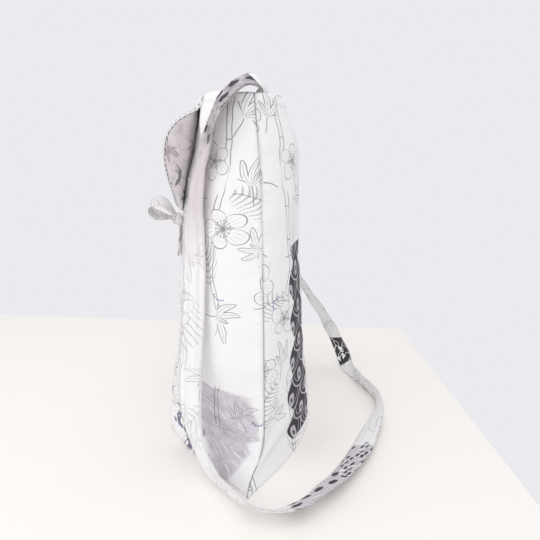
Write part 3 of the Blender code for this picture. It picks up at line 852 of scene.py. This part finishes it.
def shell(name, outer, inner, u, v, cloth, seam=None):
    """A thin closed sheet between two grids of points, with rounded rims."""
    number = np.arange(u.size).reshape(u.shape)
    count = number.size
    rim, inside = rim_of(number)
    top, bottom = outer.reshape(-1, 3), inner.reshape(-1, 3)
    middle = (top[rim] + bottom[rim]) / 2
    away = unit(middle - (top[inside] + bottom[inside]) / 2)
    thick = np.linalg.norm(top[rim] - bottom[rim], axis=1, keepdims=True)
    points = np.concatenate([top, bottom, middle + away * thick * 0.30])
    flat = np.stack([u.ravel(), v.ravel()], axis=1)
    edge = 2 * count + np.arange(len(rim))
    faces = []
    for skin in (0, count):
        faces += quads(number + skin) + quads(np.stack([rim + skin, edge]), closed=True)
    made = make_object(name, points, faces, np.concatenate([flat, flat, flat[rim]]), cloth)
    if seam is not None:
        flat_seam = seam.ravel()
        marks = made.data.attributes.new("seam_distance", "FLOAT", "POINT")
        marks.data.foreach_set("value", np.concatenate([flat_seam, flat_seam, flat_seam[rim]]))
    return made


def sleeve(name, points, coords, cloth):
    """A closed skin over rings of points, rows by places round a ring."""
    number = np.arange(points.shape[0] * points.shape[1]).reshape(points.shape[:2])
    faces = quads(number, closed=True) + [number[0, ::-1].tolist(), number[-1].tolist()]
    return make_object(name, points.reshape(-1, 3), faces, coords.reshape(-1, 2), cloth)


def sew(name, lines, stitch, cloth):
    """Short raised threads along lines, each given by its points, direction and up."""
    pitch, length, width, rise = stitch
    placed = [evenly(pitch, *line) for line in lines]
    centres, along, up = [np.concatenate(part) for part in zip(*placed)]
    template = [(-0.5, 0, -0.5), (0.5, 0, -0.5)]
    ring = [(-1, -0.2), (-0.6, 0.75), (0.6, 0.75), (1, -0.2)]
    for a, grow in ((-0.36, 0.75), (0.0, 1.0), (0.36, 0.75)):
        template += [(a, w * 0.5 * grow, h * grow) for w, h in ring]
    faces = [(0, 2 + (k + 1) % 4, 2 + k) for k in range(4)]
    faces += quads(2 + np.arange(12).reshape(3, 4), closed=True)
    faces += [(1, 10 + k, 10 + (k + 1) % 4) for k in range(4)]
    template = np.array(template) * (length, width, rise)
    along = unit(along)
    up = square_to(up, along)
    axes = np.stack([along, np.cross(up, along), up], axis=1)
    points = centres[:, None, :] + template @ axes
    every = [[i + k * len(template) for i in face] for k in range(len(centres)) for face in faces]
    coords = np.tile(template[:, :2], (len(centres), 1))
    return make_object(name, points.reshape(-1, 3), every, coords, cloth)


def evenly(pitch, points, *others):
    """Points at an even pitch along a line, with other values read off at the same places."""
    known = arcs_of(points, 0)
    at = np.arange(pitch / 2, known[-1], pitch)
    return [read_at(at, known, values) for values in (points, *others)]


# Body

def panel_base(side, inward, columns, levels):
    """The panel from the hem down and under the base, as a grid of points."""
    down = np.linspace(0, 1, levels) ** 1.05
    heights = 1.0 - (1.0 - SECTIONS[-1][0]) * down
    angle = np.linspace(-0.5, 0.5, columns) * math.pi
    shares = np.sin(angle)
    extra = inward + (HEM_STEP if inward < CANVAS / 2 else 0.0)
    wall = section_points(sections_at(heights), shares, side, extra)
    floor = max(inward - HEM_STEP, 0.0)
    lowest = sections_at([SECTIONS[-1][0]])
    lowest[0, 0] = 0.0
    lowest[0, 1] = (BASE_HALF_LENGTH - 0.2 * BASE_ROLL) / BODY_HALF_WIDTH
    ring = section_points(lowest, shares, side, inward + HEM_STEP)[0]
    seam_y = SEAM_SHIFT * lowest[0, 4]
    ahead = np.abs(ring[:, 1] - seam_y) - CLEARANCE / 2
    flat = np.maximum(ahead - BASE_ROLL * np.minimum(ahead / (3 * BASE_ROLL), 1), 0.0)
    last = wall[-1]
    rows = [wall]
    for turn in (0.3, 0.6, 0.85, 1.0):
        part = math.sin(turn * math.pi / 2)
        round_off = 1 - math.cos(turn * math.pi / 2)
        x = last[:, 0] + (ring[:, 0] - last[:, 0]) * part
        y = last[:, 1] + (seam_y + side * (CLEARANCE / 2 + flat) - last[:, 1]) * round_off
        z = last[:, 2] + (floor - last[:, 2]) * part
        rows.append(np.stack([x, y, z], axis=1)[None])
    for share in (0.8, 0.55, 0.28, 0.0):
        y = seam_y + side * (CLEARANCE / 2 + flat * share)
        rows.append(np.stack([ring[:, 0], y, np.full(columns, floor)], axis=1)[None])
    grid = np.concatenate(rows)
    grid[:, :, 2] = np.maximum(grid[:, :, 2], floor)
    return grid


def cloth_coords(grid):
    """Flat-cloth coordinates in metres: across from the middle and up from the base."""
    across = arcs_of(grid, 1)
    across = across - across[:, [across.shape[1] // 2]]
    down = arcs_of(grid, 0)
    middle = down[:, down.shape[1] // 2]
    up = HEIGHT - middle[:, None] + 0 * across
    return across, up


def dress_panel(side, grid):
    """How far the panel's points move out for its seams, stitches, creases and dents."""
    u, v = cloth_coords(grid)
    wide = np.abs(grid[:, :, 0])
    from_seam = from_edge(u)
    upright = ramp(grid[:, :, 2] - 0.004, 0.02)
    seed = 3 if side < 0 else 8
    lift = 0.0006 * ripples(u, v * 0.7, seed, 0.13)
    lift += 0.0005 * ripples(u, v, seed + 20, 0.045)
    lift += 0.00022 * ripples(u, v, seed + 40, 0.018)

    # The side seam sinks in and puckers.
    lift -= 0.0017 * bell(from_seam, 0.0024)
    pucker = np.sin(v * math.tau / 0.0085 + 2.0 * np.sin(v * 47))
    lift += 0.00045 * pucker * bell(from_seam - 0.004, 0.006)
    ease = np.sin(v * math.tau / 0.041 + 1.3 * np.sin(v * 23)) * bell(from_seam, 0.022)
    lift += 0.0006 * ease

    # The turned hem stands a little proud and its stitch line sinks in.
    below_hem = HEIGHT - HEM_DEPTH - v
    lift += 0.0005 / (1 + np.exp(below_hem / 0.0006))
    lift -= 0.0007 * bell(HEM_LINE - v, 0.0010)
    drawn = np.sin(u * math.tau / 0.0125 + 1.5 * np.sin(u * 61))
    lift += 0.0004 * drawn * bell(below_hem - 0.003, 0.008)

    # Soft pulls run down from the mouth.
    for place, reach, deep in ((0.055, 0.10, -0.0022), (0.082, 0.14, 0.0018),
                               (-0.060, 0.12, -0.0020), (0.020, 0.09, 0.0014),
                               (-0.088, 0.10, 0.0016)):
        lean = place + (HEIGHT - v) * 0.05 * side
        lift += deep * bell(u - lean, 0.011) * bell(v - (HEIGHT - reach * 0.8), reach * 0.6)

    # Creases fan out from the pointed corners of the base, and slack rolls lie above it.
    angle = np.arctan2(np.maximum(v, 0), from_seam + 0.012)
    far = np.hypot(v, from_seam)
    fan = np.sin(angle * 9.0 + 0.7 * side + far * 18) * bell(far - 0.045, 0.034)
    lift += 0.0021 * fan * upright
    roll = np.sin((v - 0.2 * np.abs(u)) * math.tau / 0.036 + u * 31 + side)
    lift += 0.0010 * roll * bell(v - 0.05, 0.03) * upright * ramp(from_seam, 0.05)

    # Dents, and in front a smooth bed for the flap.
    if side > 0:
        dent = bell(u - 0.075, 0.02) * bell(v - 0.29, 0.022)
        dent += 0.8 * bell(u - 0.06, 0.03) * bell(v - 0.335, 0.010)
        lift -= 0.0030 * dent
    else:
        dent = bell(u - 0.085, 0.014) * bell(v - 0.305, 0.045)
        dent += 0.7 * bell(u - 0.105, 0.016) * bell(v - 0.385, 0.016)
        lift -= 0.0010 * dent
        under_flap = bell(u, 0.075) ** 2 * ramp(v - 0.25, 0.03)
        lift = np.where(lift > 0, lift * (1 - under_flap), lift)
        resting = bell(u, 0.028) * ramp(v - 0.28, 0.02)
        lift = lift * (1 - resting) + 0.0006 * resting
    lift *= upright
    lift = np.where(v > HEIGHT - 0.03, np.minimum(lift, 0.0006), lift)
    if side < 0:
        # The filled corners of the mouth stand forward beside the flap and the strap.
        lift += 0.0120 * bell(wide - 0.070, 0.017) * bell(v - 0.398, 0.032)
        filled = eased(ramp(v - 0.06, 0.08) * ramp(0.425 - v, 0.07))
        lift += 0.0070 * bell(wide - 0.092, 0.017) * filled
    return lift * np.clip(from_seam / 0.0008, 0.25, 1)


def outward(grid, side):
    """Directions out of the body, level and straight sideways along the side seams."""
    made = normals_of(grid)
    if made[len(grid) // 2, grid.shape[1] // 2, 1] * side < 0:
        made = -made
    made[:, (0, -1), 1:] = 0
    made[:, 0, 0], made[:, -1, 0] = -1, 1
    return made


def build_body():
    pieces = {}
    for side, name in ((-1, "front"), (1, "back")):
        grid = panel_base(side, 0.0, PANEL_COLUMNS, PANEL_LEVELS)
        thick = panel_base(side, CANVAS + HEM_STEP, PANEL_COLUMNS, PANEL_LEVELS)
        u, v = cloth_coords(grid)
        from_seam = from_edge(u)
        lift = dress_panel(side, grid)
        away = outward(grid, side)
        outer = grid + away * lift[:, :, None]
        outer[:, :, 1] = np.where(from_seam <= 1e-9, grid[:, :, 1], outer[:, :, 1])
        inner = thick + away * (lift * ramp(u.max() - np.abs(u), 0.02))[:, :, None]
        outer[PANEL_LEVELS:] = grid[PANEL_LEVELS:]
        inner[PANEL_LEVELS:] = thick[PANEL_LEVELS:]
        outer[:, :, 2] = np.clip(outer[:, :, 2], 0.0, HEIGHT)
        inner[:, :, 2] = np.clip(inner[:, :, 2], CANVAS, HEIGHT)
        if side < 0:
            pushed_up = 0.0030 * bell(np.abs(grid[:, :, 0]) - 0.078, 0.015)
            pushed_up *= ramp(v - 0.385, 0.035)
            outer[:, :, 2] += pushed_up
            inner[:, :, 2] += pushed_up
        pieces[name] = shell(name + "_panel_cloth", outer, inner, u, v, cloths[name + "_panel"],
                             from_seam)
        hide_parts(name + "_panel")

        row = int(np.argmin(np.abs(v[:, PANEL_COLUMNS // 2] - HEM_LINE)))
        path = outer[row, 3:-3]
        sewn = sew(name + "_hem_stitches", [(path, np.gradient(path, axis=0), away[row, 3:-3])],
                   HEM_STITCH, cloths["thread"])

        low = CANVAS + HEM_STEP + CLEARANCE
        skin = panel_base(side, low, LINING_COLUMNS, LINING_LEVELS)
        inside = panel_base(side, low + LINING, LINING_COLUMNS, LINING_LEVELS)
        u, v = cloth_coords(skin)
        from_seam = from_edge(u)
        moved = 0.0007 * ripples(u, v, 60 + side, 0.05) - 0.0008
        moved *= ramp(skin[:, :, 2] - 0.01, 0.02) * ramp(HEIGHT - skin[:, :, 2], 0.02)
        moved *= ramp(from_seam, 0.01)
        moved += dress_panel(side, skin) * ramp(from_seam, 0.015)
        shift = outward(skin, side) * moved[:, :, None]
        skin = skin + shift
        inside = inside + shift
        inside[:, :, 2] = np.maximum(inside[:, :, 2], skin[:, :, 2] - 0.002)
        lining = shell(name + "_lining_cloth", skin, inside, u, v, cloths["lining"])
        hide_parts(name + "_lining")
        pieces[name + "_stitches"] = sewn
        pieces[name + "_lining"] = lining
    return pieces


# Flap

def flap_surface():
    """The flap's middle surface as a grid of points, and each column's share of the width."""
    rows = []
    for middle, level, wide, edge, edge_level in FLAP_ROWS:
        middle_y = float(across_body(middle))
        if level < 0.981:
            middle_y = front_face(level) - FLAP_CLOTH - 3.5 * CLEARANCE
        rows.append((middle_y, HEIGHT * level, FLAP_HALF_WIDTH * wide,
                     float(across_body(edge)), HEIGHT * edge_level))
    at = np.linspace(0, len(rows) - 1, FLAP_STEPS)
    middle_y, middle_z, half, edge_y, edge_z = [c[:, None] for c in smooth_rows(rows, at).T]
    share = np.linspace(-1, 1, FLAP_COLUMNS)[None, :]
    bend = np.abs(share) ** 2.2
    grid = np.stack([half * share, middle_y + (edge_y - middle_y) * bend,
                     middle_z + (edge_z - middle_z) * bend], axis=2)
    return grid, share


def piping_route(body, away):
    """The line round the flap's free edge, with its directions out of the cloth and up."""
    reach = PIPING_RADIUS + 2.2 * CLEARANCE
    first_row = 6
    right, left = [], []
    for side, column, inside in ((right, -1, -2), (left, 0, 1)):
        path = body[first_row:, column]
        out = square_to(path - body[first_row:, inside], unit(np.gradient(path, axis=0)))
        side += [path + out * reach, out, away[first_row:, column]]
    centre = FLAP_COLUMNS // 2
    down = unit(body[-1, centre] - body[-2, centre])
    tip = [body[-1, centre] + down * reach, down, away[-1, centre]]
    return [np.concatenate([a, [b], c[::-1]]) for a, b, c in zip(right, tip, left)]


def build_flap():
    grid, share = flap_surface()
    centre = FLAP_COLUMNS // 2
    over_mouth = 20
    u = arcs_of(grid, 1)
    u = u - u[:, [centre]]
    v = -arcs_of(grid, 0)[:, [centre]] + 0 * u
    away = normals_of(grid)
    if away[over_mouth, centre, 2] < 0:
        away = -away
    free = ramp(np.abs(share) - 0.35, 0.5) * ramp(-v - 0.085, 0.03)
    rim = ramp(1 - np.abs(share), 0.12)
    lift = 0.0009 * free * rim * np.sin(v * math.tau / 0.034 + share * 2.0)
    lift += 0.0007 * free * rim * ripples(u, v, 12, 0.03)
    lift += 0.00020 * ripples(u, v, 15, 0.02) * ramp(-v, 0.03)
    tip = bell(-v - np.abs(v).max(), 0.045)
    lift += 0.0008 * np.abs(np.sin(share * 6.0)) * tip * np.abs(share)
    # A channel is sewn beside the piped edge.
    sunk = 0.0005 * bell(from_edge(u) - 0.0035, 0.0012)
    body = grid + away * lift[:, :, None]
    near = away * (CLEARANCE / 2)
    far = away * (CLEARANCE / 2 + FLAP_CLOTH - sunk)[:, :, None]
    outer = shell("flap_outer_cloth", body + far, body + near, u, v, cloths["flap"])
    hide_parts("flap_outer")
    lining = shell("flap_lining_cloth", body - near, body - far, u, v, cloths["flap_lining"])
    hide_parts("flap_lining")

    route, out, up = piping_route(body, away)
    route = smoothed(route, 8)
    piping = tube("flap_piping_cloth", route, out, up, PIPING_RADIUS, cloths["piping"])
    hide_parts("flap_piping")
    along = np.gradient(route, axis=0)
    rows = []
    for turn in (-0.55, 0.55):
        facing = up * math.copysign(math.cos(turn), turn) + out * math.sin(abs(turn)) * 0.5
        facing = unit(facing)
        rows.append((route + facing * (PIPING_RADIUS * 0.97), along, facing))
    sewn = sew("flap_piping_stitches", rows, PIPING_STITCH, cloths["dark_thread"])
    return outer, lining, piping, sewn


def tube(name, route, out, up, radius, cloth):
    """A round cord edge with a slight twist to its cloth."""
    around = 14
    along = arcs_of(route, 0)
    points, coords = [], []
    for k in range(around):
        angle = math.tau * k / around
        swell = 1 + 0.05 * np.sin(along * math.tau / 0.0037 + angle)[:, None]
        points.append(route + (out * math.cos(angle) + up * math.sin(angle)) * radius * swell)
        coords.append(np.stack([np.full(len(route), radius * angle), along], axis=1))
    return sleeve(name, np.stack(points, axis=1), np.stack(coords, axis=1), cloth)


# Bands: strap and ribbons

def smooth_line(points, samples):
    """Evenly spaced points on a smooth curve through the given ones, and how far along the
    curve the new and the given ones are."""
    points = np.array(points, dtype=float)
    padded = np.concatenate([points[:1], points, points[-1:]])
    parts = 12
    dense = []
    for i in range(len(points) - 1):
        a, b, c, d = padded[i:i + 4]
        for t in np.arange(parts) / parts:
            dense.append(0.5 * (2 * b + (c - a) * t + (2 * a - 5 * b + 4 * c - d) * t * t
                                + (3 * b - a - 3 * c + d) * t ** 3))
    dense = np.array([*dense, points[-1]])
    known = arcs_of(dense, 0)
    at = np.linspace(0, known[-1], samples)
    return read_at(at, known, dense), at, known[::parts]


def band(name, line, widthways, at, size, cloth, bend, narrow=1.0, lies=None,
         columns=RIBBON_COLUMNS):
    """A flat band of cloth; bend(at, u) moves it off its flat section."""
    width, thickness = size
    forward = unit(np.gradient(line, axis=0))
    side = square_to(widthways, forward)
    face = np.cross(forward, side)
    reach = width / 2 * narrow * np.ones(len(line))
    turns = np.linspace(-1, 1, columns)
    shape = np.sign(turns) * np.abs(turns) ** 0.85
    points, coords = [], []
    for u, over in [(u, 1) for u in shape] + [(u, -1) for u in shape[-2:0:-1]]:
        half_thick = thickness / 2 * max(1 - abs(u) ** 7, 0.0) ** 0.5
        rise = bend(at, u) + over * half_thick
        points.append(line + side * (reach * u)[:, None] + face * rise[:, None])
        lap = u * width / 2 if over > 0 else width - u * width / 2
        coords.append(np.stack([np.full(len(line), lap), at], axis=1))
    grid = np.stack(points, axis=1)
    if lies:
        start, end, blend = lies
        share = np.linspace(0, 1, len(line))
        near = eased(ramp(np.minimum(share - start + blend, end + blend - share), blend))
        lowest = grid[:, :, 2].min(axis=1) - CLEARANCE
        grid[:, :, 2] -= (lowest * near)[:, None]
        grid[:, :, 2] += np.maximum(CLEARANCE - grid[:, :, 2].min(axis=1), 0)[:, None]
    return sleeve(name, grid, np.stack(coords, axis=1), cloth), grid, face


def build_strap():
    places = [(x * BODY_HALF_WIDTH, float(across_body(y)), z * HEIGHT)
              for x, y, z, _, _, _ in STRAP_ROUTE]
    line, at, marks = smooth_line(places, STRAP_STEPS)
    given = unit(np.array([row[3:] for row in STRAP_ROUTE], dtype=float))
    widthways = smoothed(read_at(at, marks, given), 5)
    total = at[-1]

    def bend(at, u):
        share = at / total
        hanging = ramp(share - 0.06, 0.04) * ramp(0.34 - share, 0.06)
        rising = ramp(share - 0.72, 0.05) * ramp(0.95 - share, 0.05)
        lying = ramp(share - 0.42, 0.05) * ramp(0.68 - share, 0.05)
        cup = (hanging + rising * 0.8) * 0.0018 * (u * u - 0.5)
        fold = 0.0011 * np.cos(u * 8.0 + 1.6 * np.sin(at * 19)) * hanging
        roll = 0.0006 * np.sin(at * math.tau / 0.047 + u * 1.7) * (1 - lying)
        groove = -0.00035 * bell(abs(u) - 0.84, 0.05)
        pucker = 0.00022 * np.sin(at * math.tau / 0.0068 + u) * bell(abs(u) - 0.84, 0.2)
        ends = ramp(np.minimum(share, 1 - share), 0.04)
        return (cup + fold + roll + pucker) * ends + groove

    strap, grid, face = band("shoulder_strap_cloth", line, widthways, at,
                             (STRAP_WIDTH, STRAP_THICKNESS), cloths["strap"], bend,
                             lies=STRAP_LIES, columns=STRAP_COLUMNS)
    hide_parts("shoulder_strap")
    upper = (1, STRAP_COLUMNS - 2)
    lower = (2 * STRAP_COLUMNS - 3, STRAP_COLUMNS)
    rows = []
    for over, columns in ((1, upper), (-1, lower)):
        for column in columns:
            path = grid[8:-8, column]
            rows.append((path, np.gradient(path, axis=0), over * face[8:-8]))
    sewn = sew("shoulder_strap_stitches", rows, STRAP_STITCH, cloths["thread"])
    return strap, sewn, total


def build_knot(knot_at):
    """A wrapped, boxy knot with a pleat and two pinched edges."""
    made = bmesh.new()
    bmesh.ops.create_icosphere(made, subdivisions=5, radius=1.0)
    points = np.array([tuple(vert.co) for vert in made.verts])
    faces = [tuple(vert.index for vert in face.verts) for face in made.faces]
    made.free()
    boxy = np.sign(points) * np.abs(points) ** 0.8
    x, _, z = points.T
    tilt = z + 0.35 * x
    swell = 1 + 0.05 * np.cos(tilt * 5.5) - 0.13 * bell(tilt - 0.42, 0.10)
    swell -= 0.11 * bell(tilt + 0.50, 0.10)
    swell += 0.030 * np.sin(x * 9 + tilt * 4 + 1.2) * bell(tilt, 0.5)
    swell -= 0.06 * bell(x - 0.15 * np.sin(tilt * 5), 0.12) * bell(tilt, 0.42)
    coords = np.stack([x * 0.008, z * 0.010], axis=1)
    return make_object("bow_knot_cloth", boxy * np.array(KNOT_SIZE) * swell[:, None] + knot_at,
                       faces, coords, cloths["bow"])


def build_bow():
    stands_off = KNOT_SIZE[1] + CLEARANCE
    knot_at = np.array([0, front_face(KNOT_LEVEL) - stands_off, HEIGHT * KNOT_LEVEL])
    knot = build_knot(knot_at)
    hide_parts("bow_knot")
    ribbons = [knot]

    def add_ribbon(name, line, widthways, at, bend, narrow):
        ribbon, _, _ = band(name + "_cloth", line, np.tile(widthways, (len(line), 1)), at,
                            (RIBBON_WIDTH, RIBBON_THICKNESS), cloths["bow"], bend, narrow)
        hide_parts(name)
        ribbons.append(ribbon)

    def add_loop(name, root, out, up, length, opening, belly, seed):
        shape = [(0.0, 0.16), (0.25, 0.36), (0.55, 0.52), (0.82, 0.44), (1.0, 0.0),
                 (0.82, -0.44), (0.55, -0.50), (0.25, -0.34), (0.0, -0.16)]
        line, at, _ = smooth_line([root + out * (length * a) + up * (opening * b)
                                   for a, b in shape], LOOP_STEPS)
        total = at[-1]
        to_knot = np.minimum(at, total - at)
        held = 1 - ramp(to_knot, total * 0.34)

        def bend(at, u):
            pleat = 0.0010 * np.cos(u * 8.0 + seed) * held
            roll = 0.0005 * np.sin(at * math.tau / 0.021 + u * 2.2 + seed)
            cup = -0.0009 * (u * u - 0.4) * (1 - held)
            return pleat + (roll + cup) * (1 - held)

        narrow = 0.58 + belly * eased(ramp(to_knot, total * 0.26))
        add_ribbon(name, line, unit(np.cross(out, up)), at, bend, narrow)

    reach = KNOT_SIZE[1] + RIBBON_THICKNESS
    out = unit(np.array([0.22, -0.82, 0.53]))
    up = square_to(np.array([0.51, 0.41, 0.66]), out)
    add_loop("bow_loop_near", knot_at + out * reach * 1.12, out, up, LOOP_LENGTH, 0.0215, 0.86,
             0.4)
    out = unit(np.array([-1.0, -0.07, -0.10]))
    up = square_to(np.array([-0.05, -0.45, 0.90]), out)
    start = knot_at + out * (KNOT_SIZE[0] + 0.3 * RIBBON_THICKNESS)
    start[1] -= 0.6 * RIBBON_THICKNESS
    add_loop("bow_loop_far", start, out, up, LOOP_LENGTH * 0.8, 0.0070, 0.42, 1.9)

    for name, lean, layer, begin in (("bow_tail_far", -0.0115, 0, 1.12),
                                     ("bow_tail_near", 0.0115, 1, 1.18)):
        away = (layer + 0.5) * RIBBON_THICKNESS + (2 * layer + 2) * CLEARANCE
        points = []
        for share in (0.0, 0.33, 0.66, 1.0):
            height = knot_at[2] - KNOT_SIZE[2] * begin - TAIL_LENGTH * share
            points.append((knot_at[0] + lean * share, front_face(height / HEIGHT) - away, height))
        line, at, _ = smooth_line(points, TAIL_STEPS)
        held = 1 - ramp(at, at[-1] * 0.5)

        def bend(at, u, layer=layer, held=held):
            pleat = 0.0006 * np.cos(u * 7.5 + layer) * held
            roll = 0.0006 * np.sin(at * math.tau / 0.019 + u * 1.4 + layer) * (1 - held)
            return (pleat + roll) * (1 if layer else 0.4)

        narrow = 0.62 + 0.38 * eased(ramp(at, at[-1] * 0.45))
        add_ribbon(name, line, [1.0, 0, 0], at, bend, narrow)
    return ribbons


# Cloths

cloths = {
    "front_panel": printed("front_panel", 11.0, wash=(4.0, 76.0, 40.0, 150.0), sewn=True),
    "back_panel": printed("back_panel", 24.0, band=(64.0, 25.0, 8.0, 262.0), sewn=True),
    "flap": printed("flap", 33.0),
    "bow": printed("bow", 46.0, faint=True),
    "strap": printed("strap", 57.0, strap=True),
    "lining": tone_on_tone("lining", 5.0, (0.36, 0.325, 0.345), (0.22, 0.19, 0.215)),
    "flap_lining": tone_on_tone("flap_lining", 9.0, (0.84, 0.79, 0.80), (0.66, 0.61, 0.63)),
    "piping": cotton("piping_cotton", (0.74, 0.73, 0.735), pitch=0.5, crinkle=0.1),
    "thread": cotton("thread_cotton", (0.70, 0.69, 0.70), pitch=0.3, crinkle=0.0),
    "dark_thread": cotton("dark_thread_cotton", (0.06, 0.055, 0.065), pitch=0.3, crinkle=0.0),
}

body = build_body()
flap_outer, flap_lining, piping, piping_stitches = build_flap()
strap, strap_stitches, strap_length = build_strap()
bow = build_bow()


# Table, light and camera

def plain(name, colour, roughness):
    """A smooth material with a very faint change of tone."""
    made, g, place, inputs = new_material(name)
    other = tuple(value * 0.985 for value in colour)
    g.put(inputs["Base Color"], g.mix(g.noise(place, 6.0, 3.0), colour, other))
    g.put(inputs["Roughness"], roughness)
    g.put(inputs["Specular IOR Level"], 0.3)
    return made


def build_table():
    """A pale table top whose far corner shows behind the bag."""
    corner = Vector((-0.238, 0.398, 0.0))
    along = Vector((-0.299, -0.954, 0.0)) * 1.9
    near = Vector((0.978, -0.208, 0.0)) * 1.7
    outline = [corner, corner + along, corner + along + near, corner + near]
    made = bmesh.new()
    top = [made.verts.new(point) for point in outline]
    face = made.faces.new(top)
    pulled = bmesh.ops.extrude_face_region(made, geom=[face])
    lower = [item for item in pulled["geom"] if isinstance(item, bmesh.types.BMVert)]
    bmesh.ops.translate(made, verts=lower, vec=(0, 0, -0.022))
    bmesh.ops.recalc_face_normals(made, faces=made.faces)
    mesh = bpy.data.meshes.new("table_top")
    made.to_mesh(mesh)
    made.free()
    table = bpy.data.objects.new("table_top", mesh)
    bpy.context.scene.collection.objects.link(table)
    bevel = table.modifiers.new("edge", "BEVEL")
    bevel.width = 0.0015
    bevel.segments = 3
    mesh.materials.append(plain("table_white", (0.93, 0.905, 0.865), 0.45))


def add_light(name, place, aim, size, power, colour):
    data = bpy.data.lights.new(name, "AREA")
    data.shape = "DISK"
    data.size = size
    data.energy = power
    data.color = colour
    made = bpy.data.objects.new(name, data)
    made.location = place
    direction = Vector(aim) - Vector(place)
    made.rotation_euler = direction.to_track_quat("-Z", "Y").to_euler()
    bpy.context.scene.collection.objects.link(made)


def build_light():
    add_light("window", (1.50, -0.25, 0.85), (0, 0, 0.20), 2.0, 7.0, (1.0, 0.985, 0.97))
    add_light("side_window", (0.45, -1.50, 0.90), (0, 0, 0.20), 1.5, 4.5, (1.0, 0.99, 0.98))
    add_light("ceiling", (0.2, 0.1, 1.9), (0, 0, 0.1), 1.6, 7.0, (1.0, 0.99, 0.98))
    world = bpy.data.worlds.new("room")
    world.use_nodes = True
    bpy.context.scene.world = world
    world.node_tree.nodes.clear()
    g = Graph(world.node_tree)
    lit = g.filled(g.node("ShaderNodeBackground"), [(0.97, 0.97, 1.0, 1), 0.78])
    seen = g.filled(g.node("ShaderNodeBackground"), [(0.835, 0.83, 0.865, 1), 1.0])
    path = g.node("ShaderNodeLightPath")
    camera_ray = Value(g, path.outputs["Is Camera Ray"])
    room = g.filled(g.node("ShaderNodeMixShader"), [camera_ray, lit, seen])
    g.put(g.node("ShaderNodeOutputWorld").inputs[0], room)


def build_camera():
    """A level camera, turned and tipped down, with the field of view of a square picture."""
    yaw, pitch = math.radians(12), math.radians(15)
    focal_pixels, picture_pixels = 400, 540
    right = Vector((math.sin(yaw), math.cos(yaw), 0))
    ahead = Vector((-math.cos(yaw) * math.cos(pitch), math.sin(yaw) * math.cos(pitch),
                    -math.sin(pitch)))
    data = bpy.data.cameras.new("camera")
    data.sensor_width = 36
    data.lens = focal_pixels / picture_pixels * data.sensor_width
    data.clip_start = 0.01
    made = bpy.data.objects.new("camera", data)
    turn = Matrix((right, right.cross(ahead), -ahead)).transposed().to_4x4()
    made.matrix_world = Matrix.Translation((0.507, -0.057, 0.356)) @ turn
    bpy.context.scene.collection.objects.link(made)
    bpy.context.scene.camera = made


build_table()
build_light()
build_camera()
bpy.context.scene.view_settings.view_transform = "Standard"
